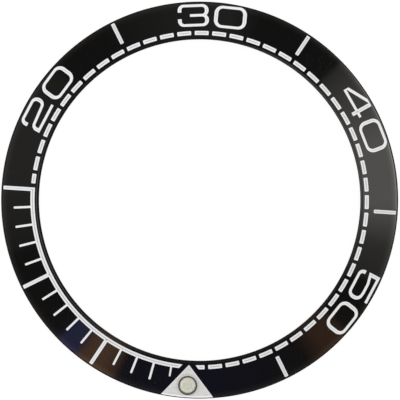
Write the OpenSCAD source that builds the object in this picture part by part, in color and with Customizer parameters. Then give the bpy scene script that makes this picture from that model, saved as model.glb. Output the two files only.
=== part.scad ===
// Dive watch bezel insert. A black ceramic ring carries its sixty-minute scale as engraved recesses
// with light inlays, and the zero triangle carries a luminous pearl in a cup. An adhesive ring on the
// back holds the insert in the bezel. Millimetres, +Z out of the face, zero mark towards +Y, and the
// origin at the centre of the adhesive's underside, which seats in the bezel.

/* [Ring] */
// Outer diameter of the ring
outer_d = 38; // [32:0.1:44]
// Width of the ring, from the bore that clears the crystal to the outer edge
ring_w = 3.6; // [3.4:0.01:5]
// Thickness of the ring at the bore
ring_t = 1; // [0.9:0.05:2]
// How far the face falls from the bore to the outer edge
face_drop = 0.25; // [0.1:0.01:0.35]
// Bevel between the face and the outer wall
rim_bevel = 0.12; // [0.05:0.01:0.15]
// Bevel between the face and the bore
bore_bevel = 0.19; // [0.05:0.01:0.3]
// Bevel round both edges of the back
back_bevel = 0.1; // [0.04:0.01:0.2]

/* [Adhesive] */
// Thickness of the adhesive ring
adhesive_t = 0.15; // [0.05:0.01:0.4]
// Distance from each edge of the ring to the adhesive
adhesive_inset = 0.4; // [0.2:0.05:1]

/* [Inlays] */
// Depth of the engraved recesses
recess_depth = 0.18; // [0.16:0.01:0.35]
// How far the inlays lie below the face
inlay_sink = 0.02; // [0.005:0.005:0.05]
// Gap between an inlay's sides and its recess
inlay_clearance = 0.01; // [0.005:0.005:0.02]

/* [Minute track] */
// Distance from the bore to the minute track
track_inset = 0.37; // [0.31:0.01:0.6]
// Radial width of the minute track
track_w = 0.43; // [0.3:0.01:0.6]
// Gap between two minute dashes, along the arc
dash_gap = 0.31; // [0.15:0.01:0.6]
// Gap between the fifteen-minute mark and the first dash
scale_gap = 0.36; // [0.15:0.01:0.6]

/* [Marks] */
// Width of a five-minute mark
mark_w = 0.39; // [0.3:0.01:0.6]
// Gap between a five-minute mark and the edge of the face
mark_edge_gap = 0.05; // [0.04:0.01:0.2]
// Gap between the minute track and a five-minute mark that stands alone
mark_track_gap = 0.47; // [0.2:0.01:0.8]
// Width of a minute mark
tick_w = 0.25; // [0.2:0.01:0.4]
// Length of a minute mark beyond the track
tick_l = 1.62; // [1:0.01:2]
// Width of the first minute mark, beside the triangle
first_tick_w = 0.21; // [0.18:0.01:0.4]
// Length of the first minute mark
first_tick_l = 0.91; // [0.5:0.01:1]
// Radius at the corners of the marks
mark_round = 0.08; // [0.02:0.01:0.09]

/* [Numerals] */
// Width of the zero and the four
wide_digit_w = 3.15; // [2.6:0.01:3.5]
// Width of the two, the three and the five
narrow_digit_w = 3; // [2.6:0.01:3.5]
// Distance between the middles of a numeral's two digits
digit_pitch = 3.64; // [3.5:0.01:3.9]
// Gap between the minute track and a numeral
digit_track_gap = 0.42; // [0.3:0.01:0.6]
// Gap between a numeral and the edge of the face
digit_edge_gap = 0.1; // [0.1:0.01:0.3]
// Thickness of a digit's upright strokes
stem_w = 0.4; // [0.3:0.01:0.45]
// Thickness of a digit's level strokes
bar_w = 0.29; // [0.25:0.01:0.36]
// Bend radius along the middle of the zero's corners
zero_bend = 0.6; // [0.4:0.01:0.65]
// Bend radius along the middle of a hook, as at the three's two ends
hook_bend = 0.4; // [0.3:0.01:0.45]
// Bend radius along the middle of a bowl, as on the three's right, where its height has room for it
bowl_bend = 0.62; // [0.3:0.01:0.7]

/* [Zero triangle and pearl] */
// Width of the triangle's base, across the rim
triangle_w = 5.16; // [4.8:0.02:5.8]
// Black border between the triangle and the minute track
triangle_border = 0.45; // [0.3:0.01:0.6]
// Diameter of the pearl
pearl_d = 1.84; // [1.6:0.02:2]
// Gap between the pearl and the edge of the face
pearl_edge_gap = 0.15; // [0.12:0.01:0.25]
// Depth of the hole that holds the pearl
pearl_depth = 0.6; // [0.5:0.01:0.64]
// Wall and floor thickness of the pearl's cup
cup_wall = 0.13; // [0.08:0.01:0.2]
// Thickness of the luminous pellet
lume_t = 0.25; // [0.1:0.01:0.3]
// How far the lens bulges out of its cup
lens_bulge = 0.07; // [0.02:0.01:0.15]

/* [Hidden] */
bend_room = 0.01;
minute_deg = 6;
minute_count = 60;
group_minutes = 5;
scale_minutes = 15;
bend_steps = 8;
overshoot = 1;
$fn = 180;

MARK_MINUTES = [25, 35, 45, 55];
DASH_STARTS = [scale_minutes:group_minutes:minute_count - group_minutes];
FIGURE_NAMES = ["zero", "one", "two", "three", "four", "five"];
// Each digit: its numeral, its figure, its side of the mark (-1 first, 1 second), its lean in degrees
// and how far it is shifted outwards
DIGITS = [
    [20, 2, -1, 0, -0.07], [20, 0, 1, 3, -0.08],
    [30, 3, -1, 0, 0], [30, 0, 1, 4, 0],
    [40, 4, -1, -2.5, 0], [40, 0, 1, 1, 0],
    [50, 5, -1, 0, 0], [50, 0, 1, 1, 0]
];

outer_r = outer_d / 2;
bore_r = outer_r - ring_w;
back_z = adhesive_t;
face_r = outer_r - rim_bevel;
face_slope = atan(face_drop / ring_w);
track_r0 = bore_r + track_inset;
track_r1 = track_r0 + track_w;
track_r = (track_r0 + track_r1) / 2;
mark_r0 = track_r1 + mark_track_gap;
mark_r1 = face_r - mark_edge_gap;
digit_h = face_r - digit_edge_gap - track_r1 - digit_track_gap;
digit_r = track_r1 + digit_track_gap + digit_h / 2;
digit_side = atan(digit_pitch / 2 / digit_r);
pearl_r = face_r - pearl_edge_gap - pearl_d / 2;
lens_r = pearl_d / 2 - cup_wall - inlay_clearance;

function dash_name(m) = str("minute_dashes_", m, "_", m + group_minutes);
function mark_name(m) = str("five_minute_mark_", m);
function digit_name(d) = str("numeral_", d[0], "_", FIGURE_NAMES[d[1]]);

// Height of the conical face above the seat at radius r
function face_z(r) = back_z + ring_t - face_drop * (r - bore_r) / ring_w;

// The angle that an arc of length l takes at radius r
function arc_deg(l, r) = l / r * 180 / PI;

// Outline helpers: a corner is [x, y, radius]
function flat(c) = [c.x, c.y];
function heading(a, b) = (flat(b) - flat(a)) / norm(flat(b) - flat(a));
function left_of(d) = [-d.y, d.x];
function cross2(a, b) = a.x * b.y - a.y * b.x;
function crossing(p, d, q, e) = p + d * cross2(q - p, e) / cross2(d, e);

// Points of a bend of radius r at corner c, between headings d and e
function bend(c, d, e, r) =
    let (turn = asin(max(-1, min(1, cross2(d, e)))), t = r * tan(abs(turn) / 2))
    let (turn_sign = sign(turn), centre = c - d * t + left_of(d) * r * turn_sign)
    r * abs(turn) < 0.01 ? [c] : [
        for (k = [0:bend_steps])
            let (a = turn * k / bend_steps, n = -left_of(d) * r * turn_sign)
            centre + [n.x * cos(a) - n.y * sin(a), n.x * sin(a) + n.y * cos(a)]
    ];

// Half of the pen's thickness across a stroke with heading d, where pen is [stem, bar]
function reach(d, pen) = norm([pen.x * d.y, pen.y * d.x]) / 2;

// One side of an open stroke: side is 1 on its left and -1 on its right, and grow lengthens its ends
function stroke_side(path, pen, side, grow) =
    let (n = len(path), d = [for (i = [0:n - 2]) heading(path[i], path[i + 1])])
    let (off = [for (i = [0:n - 2]) left_of(d[i]) * side * reach(d[i], pen)])
    concat(
        [flat(path[0]) + off[0] - d[0] * grow],
        [for (i = [1:n - 2])
            let (c = flat(path[i]), turn = sign(cross2(d[i - 1], d[i])))
            let (edge = crossing(c + off[i - 1], d[i - 1], c + off[i], d[i]))
            let (r = path[i][2] - side * turn * (norm(off[i - 1]) + norm(off[i])) / 2)
            each bend(edge, d[i - 1], d[i], path[i][2] > 0 ? max(r, mark_round) : 0)],
        [flat(path[n - 1]) + off[n - 2] + d[n - 2] * grow]
    );

// The middle bend nearest to b that leaves a straight piece beside it, where a stroke gives it this room
function fit_bend(b, room) = min(b, room - (stem_w - bar_w) / 4 - bend_room);

function reversed(list) = [for (i = [len(list) - 1:-1:0]) list[i]];

module stroke(path, grow) {
    pen = [stem_w + 2 * grow, bar_w + 2 * grow];
    polygon(concat(stroke_side(path, pen, 1, grow), reversed(stroke_side(path, pen, -1, grow))));
}

// A closed outline whose corners are rounded by each corner's own radius
function rounded(corners) =
    let (n = len(corners))
    [for (i = [0:n - 1])
        let (a = corners[(i + n - 1) % n], b = corners[i], c = corners[(i + 1) % n])
        each bend(flat(b), heading(a, b), heading(b, c), b[2])];

module rounded_box(w, h, r) {
    polygon(rounded([[-w / 2, -h / 2, r], [w / 2, -h / 2, r], [w / 2, h / 2, r], [-w / 2, h / 2, r]]));
}

// The digits, each round its own centre, widened all round by grow
module digit_0(grow) {
    outer_bend = zero_bend + (stem_w + bar_w) / 4;
    inner_bend = zero_bend - (stem_w + bar_w) / 4;
    w = wide_digit_w;
    difference() {
        rounded_box(w + 2 * grow, digit_h + 2 * grow, outer_bend + grow);
        rounded_box(w - 2 * (stem_w + grow), digit_h - 2 * (bar_w + grow), inner_bend - grow);
    }
}

module digit_2(grow) {
    x = (narrow_digit_w - stem_w) / 2;
    y = (digit_h - bar_w) / 2;
    tip = 0.3 * y;
    waist = -0.08 * y;
    waist_end = -0.28 * y;
    bowl = fit_bend(bowl_bend, (y - waist) / 2);
    foot = fit_bend(hook_bend, (y + waist_end) / 1.2);
    stroke([
        [-x, tip, 0], [-x, y, fit_bend(hook_bend, y - tip)], [x, y, bowl], [x, waist, bowl],
        [-x, waist_end, foot], [-x, -y, 0], [narrow_digit_w / 2, -y, 0]
    ], grow);
}

module digit_3(grow) {
    x = (narrow_digit_w - stem_w) / 2;
    y = (digit_h - bar_w) / 2;
    tip = 0.32 * y;
    bowl = fit_bend(bowl_bend, y / 2);
    stroke([[-x, tip, 0], [-x, y, hook_bend], [x, y, bowl], [x, 0, bowl], [-0.26 * x, 0, 0]], grow);
    stroke([[-x, -tip, 0], [-x, -y, hook_bend], [x, -y, bowl], [x, 0, bowl], [0, 0, 0]], grow);
}

module digit_4(grow) {
    x = wide_digit_w / 2;
    y = digit_h / 2;
    stem_x = 0.57 * x;
    bar_y = -0.37 * y;
    foot = [-1.2 * x, -0.31 * y, 0];
    apex = [stem_x, 1.13 * y, 0];
    stroke([[-x, bar_y, 0], [0.97 * x, bar_y, 0]], grow);
    stroke([[stem_x, -0.9 * y, 0], [stem_x, y, 0]], grow);
    intersection() {
        stroke([foot, apex], grow);
        translate([-x - grow, bar_y - grow])
            square([x + stem_x + 2 * grow, y - bar_y + 2 * grow]);
    }
}

module digit_5(grow) {
    x = (narrow_digit_w - stem_w) / 2;
    y = (digit_h - bar_w) / 2;
    crown = 0.31 * y;
    shoulder = 0.2 * y;
    tip = -0.42 * y;
    arch = 3 * hook_bend;
    bowl = fit_bend(bowl_bend, (shoulder + y) / 2);
    stroke([
        [1.03 * x, y, 0], [-x, y, 0], [-x, 0.1 * y, 0], [-0.3 * x, crown, arch], [0.4 * x, crown, arch],
        [x, shoulder, bowl], [x, -y, bowl], [-x, -y, fit_bend(hook_bend, tip + y)], [-x, tip, 0]
    ], grow);
}

module digit_shape(figure, grow) {
    if (figure == 0) digit_0(grow);
    if (figure == 2) digit_2(grow);
    if (figure == 3) digit_3(grow);
    if (figure == 4) digit_4(grow);
    if (figure == 5) digit_5(grow);
}

// Turns what is drawn along +Y to a minute of the scale, clockwise as the hands go
module at_minute(m) {
    rotate([0, 0, -minute_deg * m]) children();
}

module digit_outline(d, grow) {
    rotate([0, 0, -minute_deg * d[0] - d[2] * digit_side])
        translate([0, digit_r + d[4]])
            rotate([0, 0, d[3]])
                digit_shape(d[1], grow);
}

// A mark along +Y from radius r0 to r1
module radial_bar(r0, r1, w, grow) {
    translate([0, (r0 + r1) / 2])
        rounded_box(w + 2 * grow, r1 - r0 + 2 * grow, mark_round + grow);
}

module mark_outline(m, grow) {
    at_minute(m) radial_bar(mark_r0, mark_r1, mark_w, grow);
}

// The part of the minute track between two angles, in degrees clockwise from the zero mark
module track_sector(a0, a1, grow) {
    side = arc_deg(grow, track_r);
    far = outer_r * 2;
    intersection() {
        difference() {
            circle(r = track_r1 + grow);
            circle(r = track_r0 - grow);
        }
        polygon(concat(
            [[0, 0]],
            [for (k = [0:bend_steps])
                let (a = a0 - side + (a1 - a0 + 2 * side) * k / bend_steps)
                [far * sin(a), far * cos(a)]]
        ));
    }
}

// The zero triangle, its apex on the track's inner line, moved outwards by grow on every side
module triangle_outline(grow) {
    half_w = triangle_w / 2;
    base_y = sqrt(pow(outer_r, 2) - pow(half_w, 2));
    apex_half = atan(half_w / (base_y - track_r0));
    apex_y = track_r0 - grow / sin(apex_half);
    far_y = outer_r + overshoot;
    far_x = (far_y - apex_y) * tan(apex_half);
    polygon([[0, apex_y], [far_x, far_y], [-far_x, far_y]]);
}

// One group of minute dashes, from minute m on
module dashes_outline(m, grow) {
    gap = arc_deg(dash_gap, track_r) / 2;
    first_gap = arc_deg(scale_gap + mark_w / 2, track_r);
    difference() {
        for (k = [0:group_minutes - 1]) {
            start = minute_deg * (m + k) + (m + k == scale_minutes ? first_gap : gap);
            track_sector(start, minute_deg * (m + k + 1) - gap, grow);
        }
        if (m + group_minutes == minute_count) triangle_outline(triangle_border - grow);
    }
}

// The elapsed scale: one comb, whose five-minute marks are cut off at the track's inner circle
module scale_outline(grow) {
    difference() {
        union() {
            track_sector(0, minute_deg * scale_minutes, grow);
            for (m = [1:scale_minutes])
                at_minute(m)
                    if (m % group_minutes == 0) radial_bar(track_r0 - mark_w, mark_r1, mark_w, grow);
                    else if (m == 1) radial_bar(track_r, track_r1 + first_tick_l, first_tick_w, grow);
                    else radial_bar(track_r, track_r1 + tick_l, tick_w, grow);
        }
        circle(r = track_r0 - grow);
        triangle_outline(triangle_border - grow);
    }
}

// The layer of the ring that the inlays fill, from the recess floor to just under the face
module inlay_layer() {
    wall_r = outer_r - inlay_sink;
    bevel_r = face_r - inlay_sink / 2;
    inner_r = bore_r + bore_bevel;
    rotate_extrude()
        polygon([
            [inner_r, face_z(inner_r) - recess_depth], [wall_r, face_z(wall_r) - recess_depth],
            [wall_r, face_z(wall_r) - rim_bevel - inlay_sink / 2],
            [bevel_r, face_z(bevel_r) - inlay_sink], [inner_r, face_z(inner_r) - inlay_sink]
        ]);
}

// Everything above the recess floor, which a recess is cut through
module recess_layer() {
    inner_r = bore_r + bore_bevel / 2;
    wall_r = outer_r + overshoot;
    top = face_z(bore_r) + overshoot;
    rotate_extrude()
        polygon([
            [inner_r, face_z(inner_r) - recess_depth], [wall_r, face_z(wall_r) - recess_depth],
            [wall_r, top], [inner_r, top]
        ]);
}

// Cuts a flat outline out of the inlay layer, or out of everything above the recess floor
module inlay() {
    intersection() {
        linear_extrude(height = face_z(bore_r) + overshoot) children();
        inlay_layer();
    }
}

module recess() {
    intersection() {
        linear_extrude(height = face_z(bore_r) + 2 * overshoot) children();
        recess_layer();
    }
}

// The pearl's own frame: its axis stands square to the face, its origin on the hole's floor
module at_pearl() {
    translate([0, pearl_r, face_z(pearl_r)])
        rotate([-face_slope, 0, 0])
            translate([0, 0, -pearl_depth])
                children();
}

module ring_blank() {
    bore_top = bore_r + bore_bevel;
    rotate_extrude()
        polygon([
            [bore_r, back_z + back_bevel], [bore_r + back_bevel, back_z],
            [outer_r - back_bevel, back_z], [outer_r, back_z + back_bevel],
            [outer_r, face_z(face_r) - rim_bevel], [face_r, face_z(face_r)],
            [bore_top, face_z(bore_top)], [bore_r, face_z(bore_top) - bore_bevel]
        ]);
}

module insert_ring() {
    color([0.03, 0.03, 0.035])
        difference() {
            ring_blank();
            recess() scale_outline(inlay_clearance);
            for (m = DASH_STARTS) recess() dashes_outline(m, inlay_clearance);
            for (m = MARK_MINUTES) recess() mark_outline(m, inlay_clearance);
            for (d = DIGITS) recess() digit_outline(d, inlay_clearance);
            recess() triangle_outline(inlay_clearance);
            at_pearl() cylinder(r = pearl_d / 2 + inlay_clearance, h = pearl_depth + overshoot);
        }
}

module adhesive_ring() {
    color([0.85, 0.82, 0.74])
        rotate_extrude()
            translate([bore_r + adhesive_inset, 0])
                square([ring_w - 2 * adhesive_inset, adhesive_t]);
}

module elapsed_scale() {
    color([0.88, 0.89, 0.92]) inlay() scale_outline(0);
}

module minute_dashes(m) {
    color([0.88, 0.89, 0.92]) inlay() dashes_outline(m, 0);
}

module five_minute_mark(m) {
    color([0.88, 0.89, 0.92]) inlay() mark_outline(m, 0);
}

module numeral_digit(d) {
    color([0.88, 0.89, 0.92]) inlay() digit_outline(d, 0);
}

module zero_triangle() {
    color([0.83, 0.82, 0.81])
        difference() {
            inlay() triangle_outline(0);
            at_pearl() cylinder(r = pearl_d / 2 + inlay_clearance, h = pearl_depth + overshoot);
        }
}

module pearl_cup() {
    color([0.3, 0.3, 0.3])
        at_pearl()
            difference() {
                cylinder(d = pearl_d, h = pearl_depth);
                translate([0, 0, cup_wall]) cylinder(r = pearl_d / 2 - cup_wall, h = pearl_depth);
            }
}

module lume_pellet() {
    color([0.78, 0.79, 0.7])
        at_pearl() translate([0, 0, cup_wall]) cylinder(r = lens_r, h = lume_t);
}

// A clear disc on the pellet, its top part of a sphere
module pearl_lens() {
    seat = cup_wall + lume_t;
    crown_r = (pow(lens_r, 2) + pow(lens_bulge, 2)) / (2 * lens_bulge);
    color([0.9, 0.92, 0.9, 0.4])
        at_pearl()
            intersection() {
                translate([0, 0, seat]) cylinder(r = lens_r, h = pearl_depth + overshoot);
                translate([0, 0, pearl_depth + lens_bulge - crown_r]) sphere(r = crown_r);
            }
}

insert_ring();
adhesive_ring();
elapsed_scale();
zero_triangle();
pearl_cup();
lume_pellet();
pearl_lens();
for (m = DASH_STARTS) minute_dashes(m);
for (m = MARK_MINUTES) five_minute_mark(m);
for (d = DIGITS) numeral_digit(d);
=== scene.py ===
"""Looks for a dive watch bezel insert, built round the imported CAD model.

Outlines are drawn in millimetres as seen from above, round the ring's axis, with the zero mark towards +Y and
the minutes running clockwise. They become metres when a mesh is made, so each piece lies where its node lies.
"""

from __future__ import annotations

import sys
import logging
import math
from collections.abc import Callable, Hashable, Sequence
from dataclasses import dataclass
from enum import Enum
from typing import ClassVar

import bpy
import numpy as np
from mathutils import Matrix, Vector
from mathutils.geometry import delaunay_2d_cdt


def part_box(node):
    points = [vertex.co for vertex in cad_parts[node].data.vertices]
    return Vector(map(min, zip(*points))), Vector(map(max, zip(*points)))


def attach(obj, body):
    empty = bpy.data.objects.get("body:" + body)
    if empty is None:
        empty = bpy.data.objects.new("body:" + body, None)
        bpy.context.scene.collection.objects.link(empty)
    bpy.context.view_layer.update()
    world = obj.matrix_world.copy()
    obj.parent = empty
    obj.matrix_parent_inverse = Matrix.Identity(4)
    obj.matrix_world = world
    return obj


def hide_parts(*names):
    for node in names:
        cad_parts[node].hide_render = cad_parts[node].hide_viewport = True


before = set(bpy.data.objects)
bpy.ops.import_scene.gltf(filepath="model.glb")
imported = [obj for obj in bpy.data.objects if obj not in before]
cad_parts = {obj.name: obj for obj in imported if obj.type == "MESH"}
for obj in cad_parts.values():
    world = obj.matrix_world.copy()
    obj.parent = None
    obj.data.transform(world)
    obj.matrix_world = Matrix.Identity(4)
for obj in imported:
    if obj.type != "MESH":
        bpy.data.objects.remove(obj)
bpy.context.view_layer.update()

log = logging.getLogger("bezel_insert")

MM = 0.001
MINUTE_DEG = 6.0
GROUP_MINUTES = 5
SCALE_MINUTES = 15
MINUTES = 60
BEND_STEPS = 8
RING_STEPS = 720
SHARP_DEG = 32.0

# Outlines: the shortest side and bend that are kept, and how near two points lie when they are one
SHORTEST_SIDE = 0.003
FINEST_BEND = 1e-4
MERGED = 1e-6

# Grids of points: the distances between rows and from an outline, as shares of the spacing
ROW_SHARE = 0.87
EDGE_SHARE = 0.45

Piece = bpy.types.Object
Pair = tuple[float, float]
Triple = tuple[float, float, float]
Colour = tuple[float, float, float]
Loop = list[Vector]


# Outlines in plan view

def on_ring(radius: float, degrees: float) -> Vector:
    """The point at a radius, at an angle clockwise from the zero mark."""
    return Vector((radius * math.sin(math.radians(degrees)), radius * math.cos(math.radians(degrees))))


def turned(point: Vector, degrees: float) -> Vector:
    """The point turned clockwise round the ring's axis."""
    c, s = math.cos(math.radians(degrees)), math.sin(math.radians(degrees))
    return Vector((point.x * c + point.y * s, point.y * c - point.x * s))


def arc(radius: float, start_deg: float, end_deg: float, step_deg: float = 0.75) -> Loop:
    """Points along an arc round the ring's axis, both ends included.

    Args:
        radius: The arc's radius.
        start_deg: Where it starts, clockwise from the zero mark.
        end_deg: Where it ends.
        step_deg: The largest angle between two points.

    Returns:
        The points, in order.
    """
    count = max(1, math.ceil(abs(end_deg - start_deg) / step_deg))
    return [on_ring(radius, start_deg + (end_deg - start_deg) * k / count) for k in range(count + 1)]


def circle(radius: float, step_deg: float) -> Loop:
    """A whole circle round the ring's axis, with a point at each step."""
    return arc(radius, 0.0, 360 - step_deg, step_deg)


def left_of(direction: Vector) -> Vector:
    """The direction a quarter turn to the left."""
    return Vector((-direction.y, direction.x))


def bend(corner: Vector, before: Vector, after: Vector, radius: float) -> Loop:
    """Rounds one corner of an outline.

    Args:
        corner: Where the two straight sides would meet.
        before: Direction of the side that comes in.
        after: Direction of the side that goes out.
        radius: Radius of the bend, or 0 for a sharp corner.

    Returns:
        The points of the bend, or the corner itself.
    """
    turn = math.asin(max(-1.0, min(1.0, before.cross(after))))
    if radius * abs(turn) < FINEST_BEND:
        return [corner.copy()]
    normal = left_of(before) * math.copysign(radius, turn)
    centre = corner - before * radius * math.tan(abs(turn) / 2) + normal
    return [centre - Matrix.Rotation(turn * k / BEND_STEPS, 2) @ normal for k in range(BEND_STEPS + 1)]


def rounded(corners: Sequence[Triple]) -> Loop:
    """A closed outline of corners, each x, y and the radius of its bend.

    Args:
        corners: The corners, anticlockwise round the region.

    Returns:
        The outline.
    """
    flat = [Vector(c[:2]) for c in corners]
    loop: Loop = []
    for i, here in enumerate(flat):
        before = (here - flat[i - 1]).normalized()
        after = (flat[(i + 1) % len(flat)] - here).normalized()
        loop += bend(here, before, after, corners[i][2])
    return loop


def box(width: float, height: float, radius: float, centre_y: float = 0.0) -> Loop:
    """A rectangle with bent corners, its middle on the line from the axis to the zero mark."""
    x, low, high = width / 2, centre_y - height / 2, centre_y + height / 2
    return rounded([(-x, low, radius), (x, low, radius), (x, high, radius), (-x, high, radius)])


def finer(loop: Loop, step: float) -> Loop:
    """The same outline with more points, none further from the next than the step.

    Args:
        loop: The outline.
        step: The longest side that is left.

    Returns:
        The finer outline.
    """
    points: Loop = []
    for here, there in zip(loop, loop[1:] + loop[:1]):
        count = max(1, math.ceil((there - here).length / step))
        points += [here.lerp(there, k / count) for k in range(count)]
    return points


def signed_area(loop: Loop) -> float:
    """The area inside a loop, negative where it runs clockwise."""
    return sum(a.cross(b) for a, b in zip(loop, loop[1:] + loop[:1])) / 2


def offset(loop: Loop, distance: float) -> Loop:
    """Moves a loop sideways, away from the region on its left.

    Args:
        loop: The outline.
        distance: How far each side moves to its right.

    Returns:
        The moved outline.
    """
    moved: Loop = []
    for i, here in enumerate(loop):
        out_before = -left_of((here - loop[i - 1]).normalized())
        out_after = -left_of((loop[(i + 1) % len(loop)] - here).normalized())
        moved.append(here + (out_before + out_after) * distance / (1 + out_before.dot(out_after)))
    return moved


@dataclass
class Plan:
    """A triangulated plan view: its points, its triangles anticlockwise, and the outlines round each triangle."""

    points: np.ndarray
    triangles: list[tuple[int, ...]]
    owners: list[frozenset[int]]

    @classmethod
    def of(cls, loops: Sequence[Loop], extra: Sequence[Vector] = ()) -> Plan:
        """Triangulates outlines and loose points, so that every side of an outline is a side of triangles.

        Args:
            loops: The outlines, in either direction.
            extra: Points between them.

        Returns:
            The plan, which covers the convex hull.
        """
        points: list[Vector] = []
        faces: list[list[int]] = []
        for loop in loops:
            run = list(range(len(points), len(points) + len(loop)))
            faces.append(run if signed_area(loop) > 0 else run[::-1])
            points += loop
        found = delaunay_2d_cdt(points + list(extra), [], faces, 0, MERGED)
        return cls(np.array([p[:] for p in found[0]]), [tuple(t) for t in found[2]], [frozenset(o) for o in found[5]])

    def borders(self, chosen: Sequence[int]) -> list[tuple[int, int]]:
        """The sides of the chosen triangles that have no chosen triangle beyond them, with the region on their left."""
        sides = {(t[k - 1], t[k]) for t in (self.triangles[i] for i in chosen) for k in range(3)}
        return [(a, b) for a, b in sides if (b, a) not in sides]


def combine(adds: Sequence[Loop], cuts: Sequence[Loop] = ()) -> list[Loop]:
    """Joins outlines into one region and takes others away from it.

    Args:
        adds: The outlines to join.
        cuts: The outlines to take away.

    Returns:
        The region's loops, each with the region on its left.
    """
    plan = Plan.of([*adds, *cuts])
    chosen = [i for i, own in enumerate(plan.owners) if own and max(own) < len(adds)]
    after = dict(plan.borders(chosen))
    loops: list[Loop] = []
    while after:
        start, here = after.popitem()
        loop = [start]
        while here != start:
            loop.append(here)
            here = after.pop(here)
        points = [Vector(plan.points[i]) for i in loop]
        loops.append([p for i, p in enumerate(points) if (p - points[i - 1]).length > SHORTEST_SIDE])
    return sorted(loops, key=lambda loop: -abs(signed_area(loop)))


def inside(points: np.ndarray, loops: Sequence[Loop]) -> np.ndarray:
    """Whether each point lies in the region that the loops bound.

    Args:
        points: The points, one in each row.
        loops: The region's outlines.

    Returns:
        A truth value for each point.
    """
    hit = np.zeros(len(points), bool)
    for loop in loops:
        start = np.array([p[:] for p in loop])
        end = np.roll(start, -1, axis=0)
        above = (start[:, 1] > points[:, 1:2]) != (end[:, 1] > points[:, 1:2])
        rise = np.where(start[:, 1] == end[:, 1], 1.0, end[:, 1] - start[:, 1])
        x = start[:, 0] + (points[:, 1:2] - start[:, 1]) * (end[:, 0] - start[:, 0]) / rise
        hit ^= (above & (points[:, 0:1] < x)).sum(1) % 2 == 1
    return hit


def distance_to(points: np.ndarray, loops: Sequence[Loop]) -> np.ndarray:
    """The distance from each point to the nearest loop.

    Args:
        points: The points, one in each row.
        loops: The outlines.

    Returns:
        A distance for each point.
    """
    nearest = np.full(len(points), np.inf)
    for loop in loops:
        start = np.array([p[:] for p in loop])
        along = np.roll(start, -1, axis=0) - start
        offset_by = points[:, None, :] - start
        share = np.clip((offset_by * along).sum(2) / (along**2).sum(1), 0, 1)
        gap = np.linalg.norm(offset_by - share[:, :, None] * along, axis=2)
        nearest = np.minimum(nearest, gap.min(1))
    return nearest


def grid_inside(loops: Sequence[Loop], spacing: float) -> np.ndarray:
    """Staggered points that fill a region, none of them close to its edge.

    Args:
        loops: The region's outlines.
        spacing: The distance between two points.

    Returns:
        The points, one in each row.
    """
    low = np.min([[p.x, p.y] for loop in loops for p in loop], axis=0)
    high = np.max([[p.x, p.y] for loop in loops for p in loop], axis=0)
    columns, rows = np.ceil((high - low) / [spacing, spacing * ROW_SHARE]).astype(int) + 1
    grid = np.array([
        (low[0] + (i + 0.5 * (j % 2)) * spacing, low[1] + j * spacing * ROW_SHARE)
        for j in range(rows) for i in range(columns)
    ])
    grid = grid[inside(grid, loops)]
    return grid[distance_to(grid, loops) > EDGE_SHARE * spacing]


# Meshes

class Shell:
    """Collects one closed mesh in millimetres: vertices by name, faces, and each face's finish."""

    def __init__(self) -> None:
        """Starts with no vertices."""
        self.vertices: list[Vector] = []
        self.faces: list[tuple[int, ...]] = []
        self.finishes: list[int] = []
        self.polished: list[bool] = []
        self._known: dict[Hashable, int] = {}

    def vertex(self, key: Hashable, place: Callable[[], Sequence[float]]) -> int:
        """The index of the vertex with this name, which is placed when it is first asked for.

        Args:
            key: The vertex's name.
            place: Gives its place.

        Returns:
            The vertex's index.
        """
        if key not in self._known:
            self._known[key] = len(self.vertices)
            self.vertices.append(Vector(place()))
        return self._known[key]

    def named(self) -> dict[Hashable, int]:
        """The index of each vertex by its name."""
        return dict(self._known)

    def face(self, corners: Sequence[int], finish: int = 0, polished: bool = False) -> None:
        """Adds a face, anticlockwise from outside, unless its corners have run together.

        Args:
            corners: The vertices' indices.
            finish: The index of the face's finish.
            polished: Whether its normals are to follow the polished face.
        """
        kept = [c for i, c in enumerate(corners) if c != corners[i - 1]]
        if len(kept) > 2:
            self.faces.append(tuple(kept))
            self.finishes.append(finish)
            self.polished.append(polished)

    def strip(self, upper: Sequence[int], lower: Sequence[int], finish: int = 0) -> None:
        """Joins two closed rows of vertices, which run anticlockwise seen from above, on the outside of a wall.

        Args:
            upper: The upper row's indices.
            lower: The lower row's, as many.
            finish: The index of the faces' finish.
        """
        for k in range(len(upper)):
            n = (k + 1) % len(upper)
            self.face((upper[n], upper[k], lower[k], lower[n]), finish)

    def spin(
        self, profile: Sequence[Pair], steps: int,
        place: Callable[[Vector], Vector] = lambda p: p, finish: int = 0, closed: bool = True,
    ) -> None:
        """Turns a profile round its axis.

        Args:
            profile: Radius and height of each row, down the outside and up the inside.
            steps: Number of vertices in a row.
            place: Moves each vertex from the profile's own frame to the ring's.
            finish: The faces' finish.
            closed: Whether the last row joins the first, as in a ring.
        """
        rows = []
        for number, (radius, height) in enumerate(profile):
            row = []
            for k in range(steps):
                angle = 2 * math.pi * k / steps if radius else 0.0
                here = Vector((radius * math.cos(angle), radius * math.sin(angle), height))
                key = (id(profile), number, k if radius else 0)
                row.append(self.vertex(key, lambda here=here: place(here)))
            rows.append(row)
        for number in range(len(rows) - (0 if closed else 1)):
            self.strip(rows[number], rows[(number + 1) % len(rows)], finish)

    def build(self, name: str, finishes: Sequence[Finish], sharp_deg: float = SHARP_DEG) -> Piece:
        """Makes the object, in metres.

        Args:
            name: The piece's name.
            finishes: The finishes that the faces' numbers stand for.
            sharp_deg: The angle between two faces above which their edge is sharp.

        Returns:
            The object, at the origin.
        """
        mesh = bpy.data.meshes.new(name)
        mesh.from_pydata([v * MM for v in self.vertices], [], self.faces)
        for finish in finishes:
            mesh.materials.append(finish.material())
        mesh.polygons.foreach_set("material_index", self.finishes)
        mesh.polygons.foreach_set("use_smooth", [True] * len(self.faces))
        mesh.update()
        mesh.set_sharp_from_angle(angle=math.radians(sharp_deg))
        piece = bpy.data.objects.new(name, mesh)
        bpy.context.scene.collection.objects.link(piece)
        return piece


# Node trees

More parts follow.
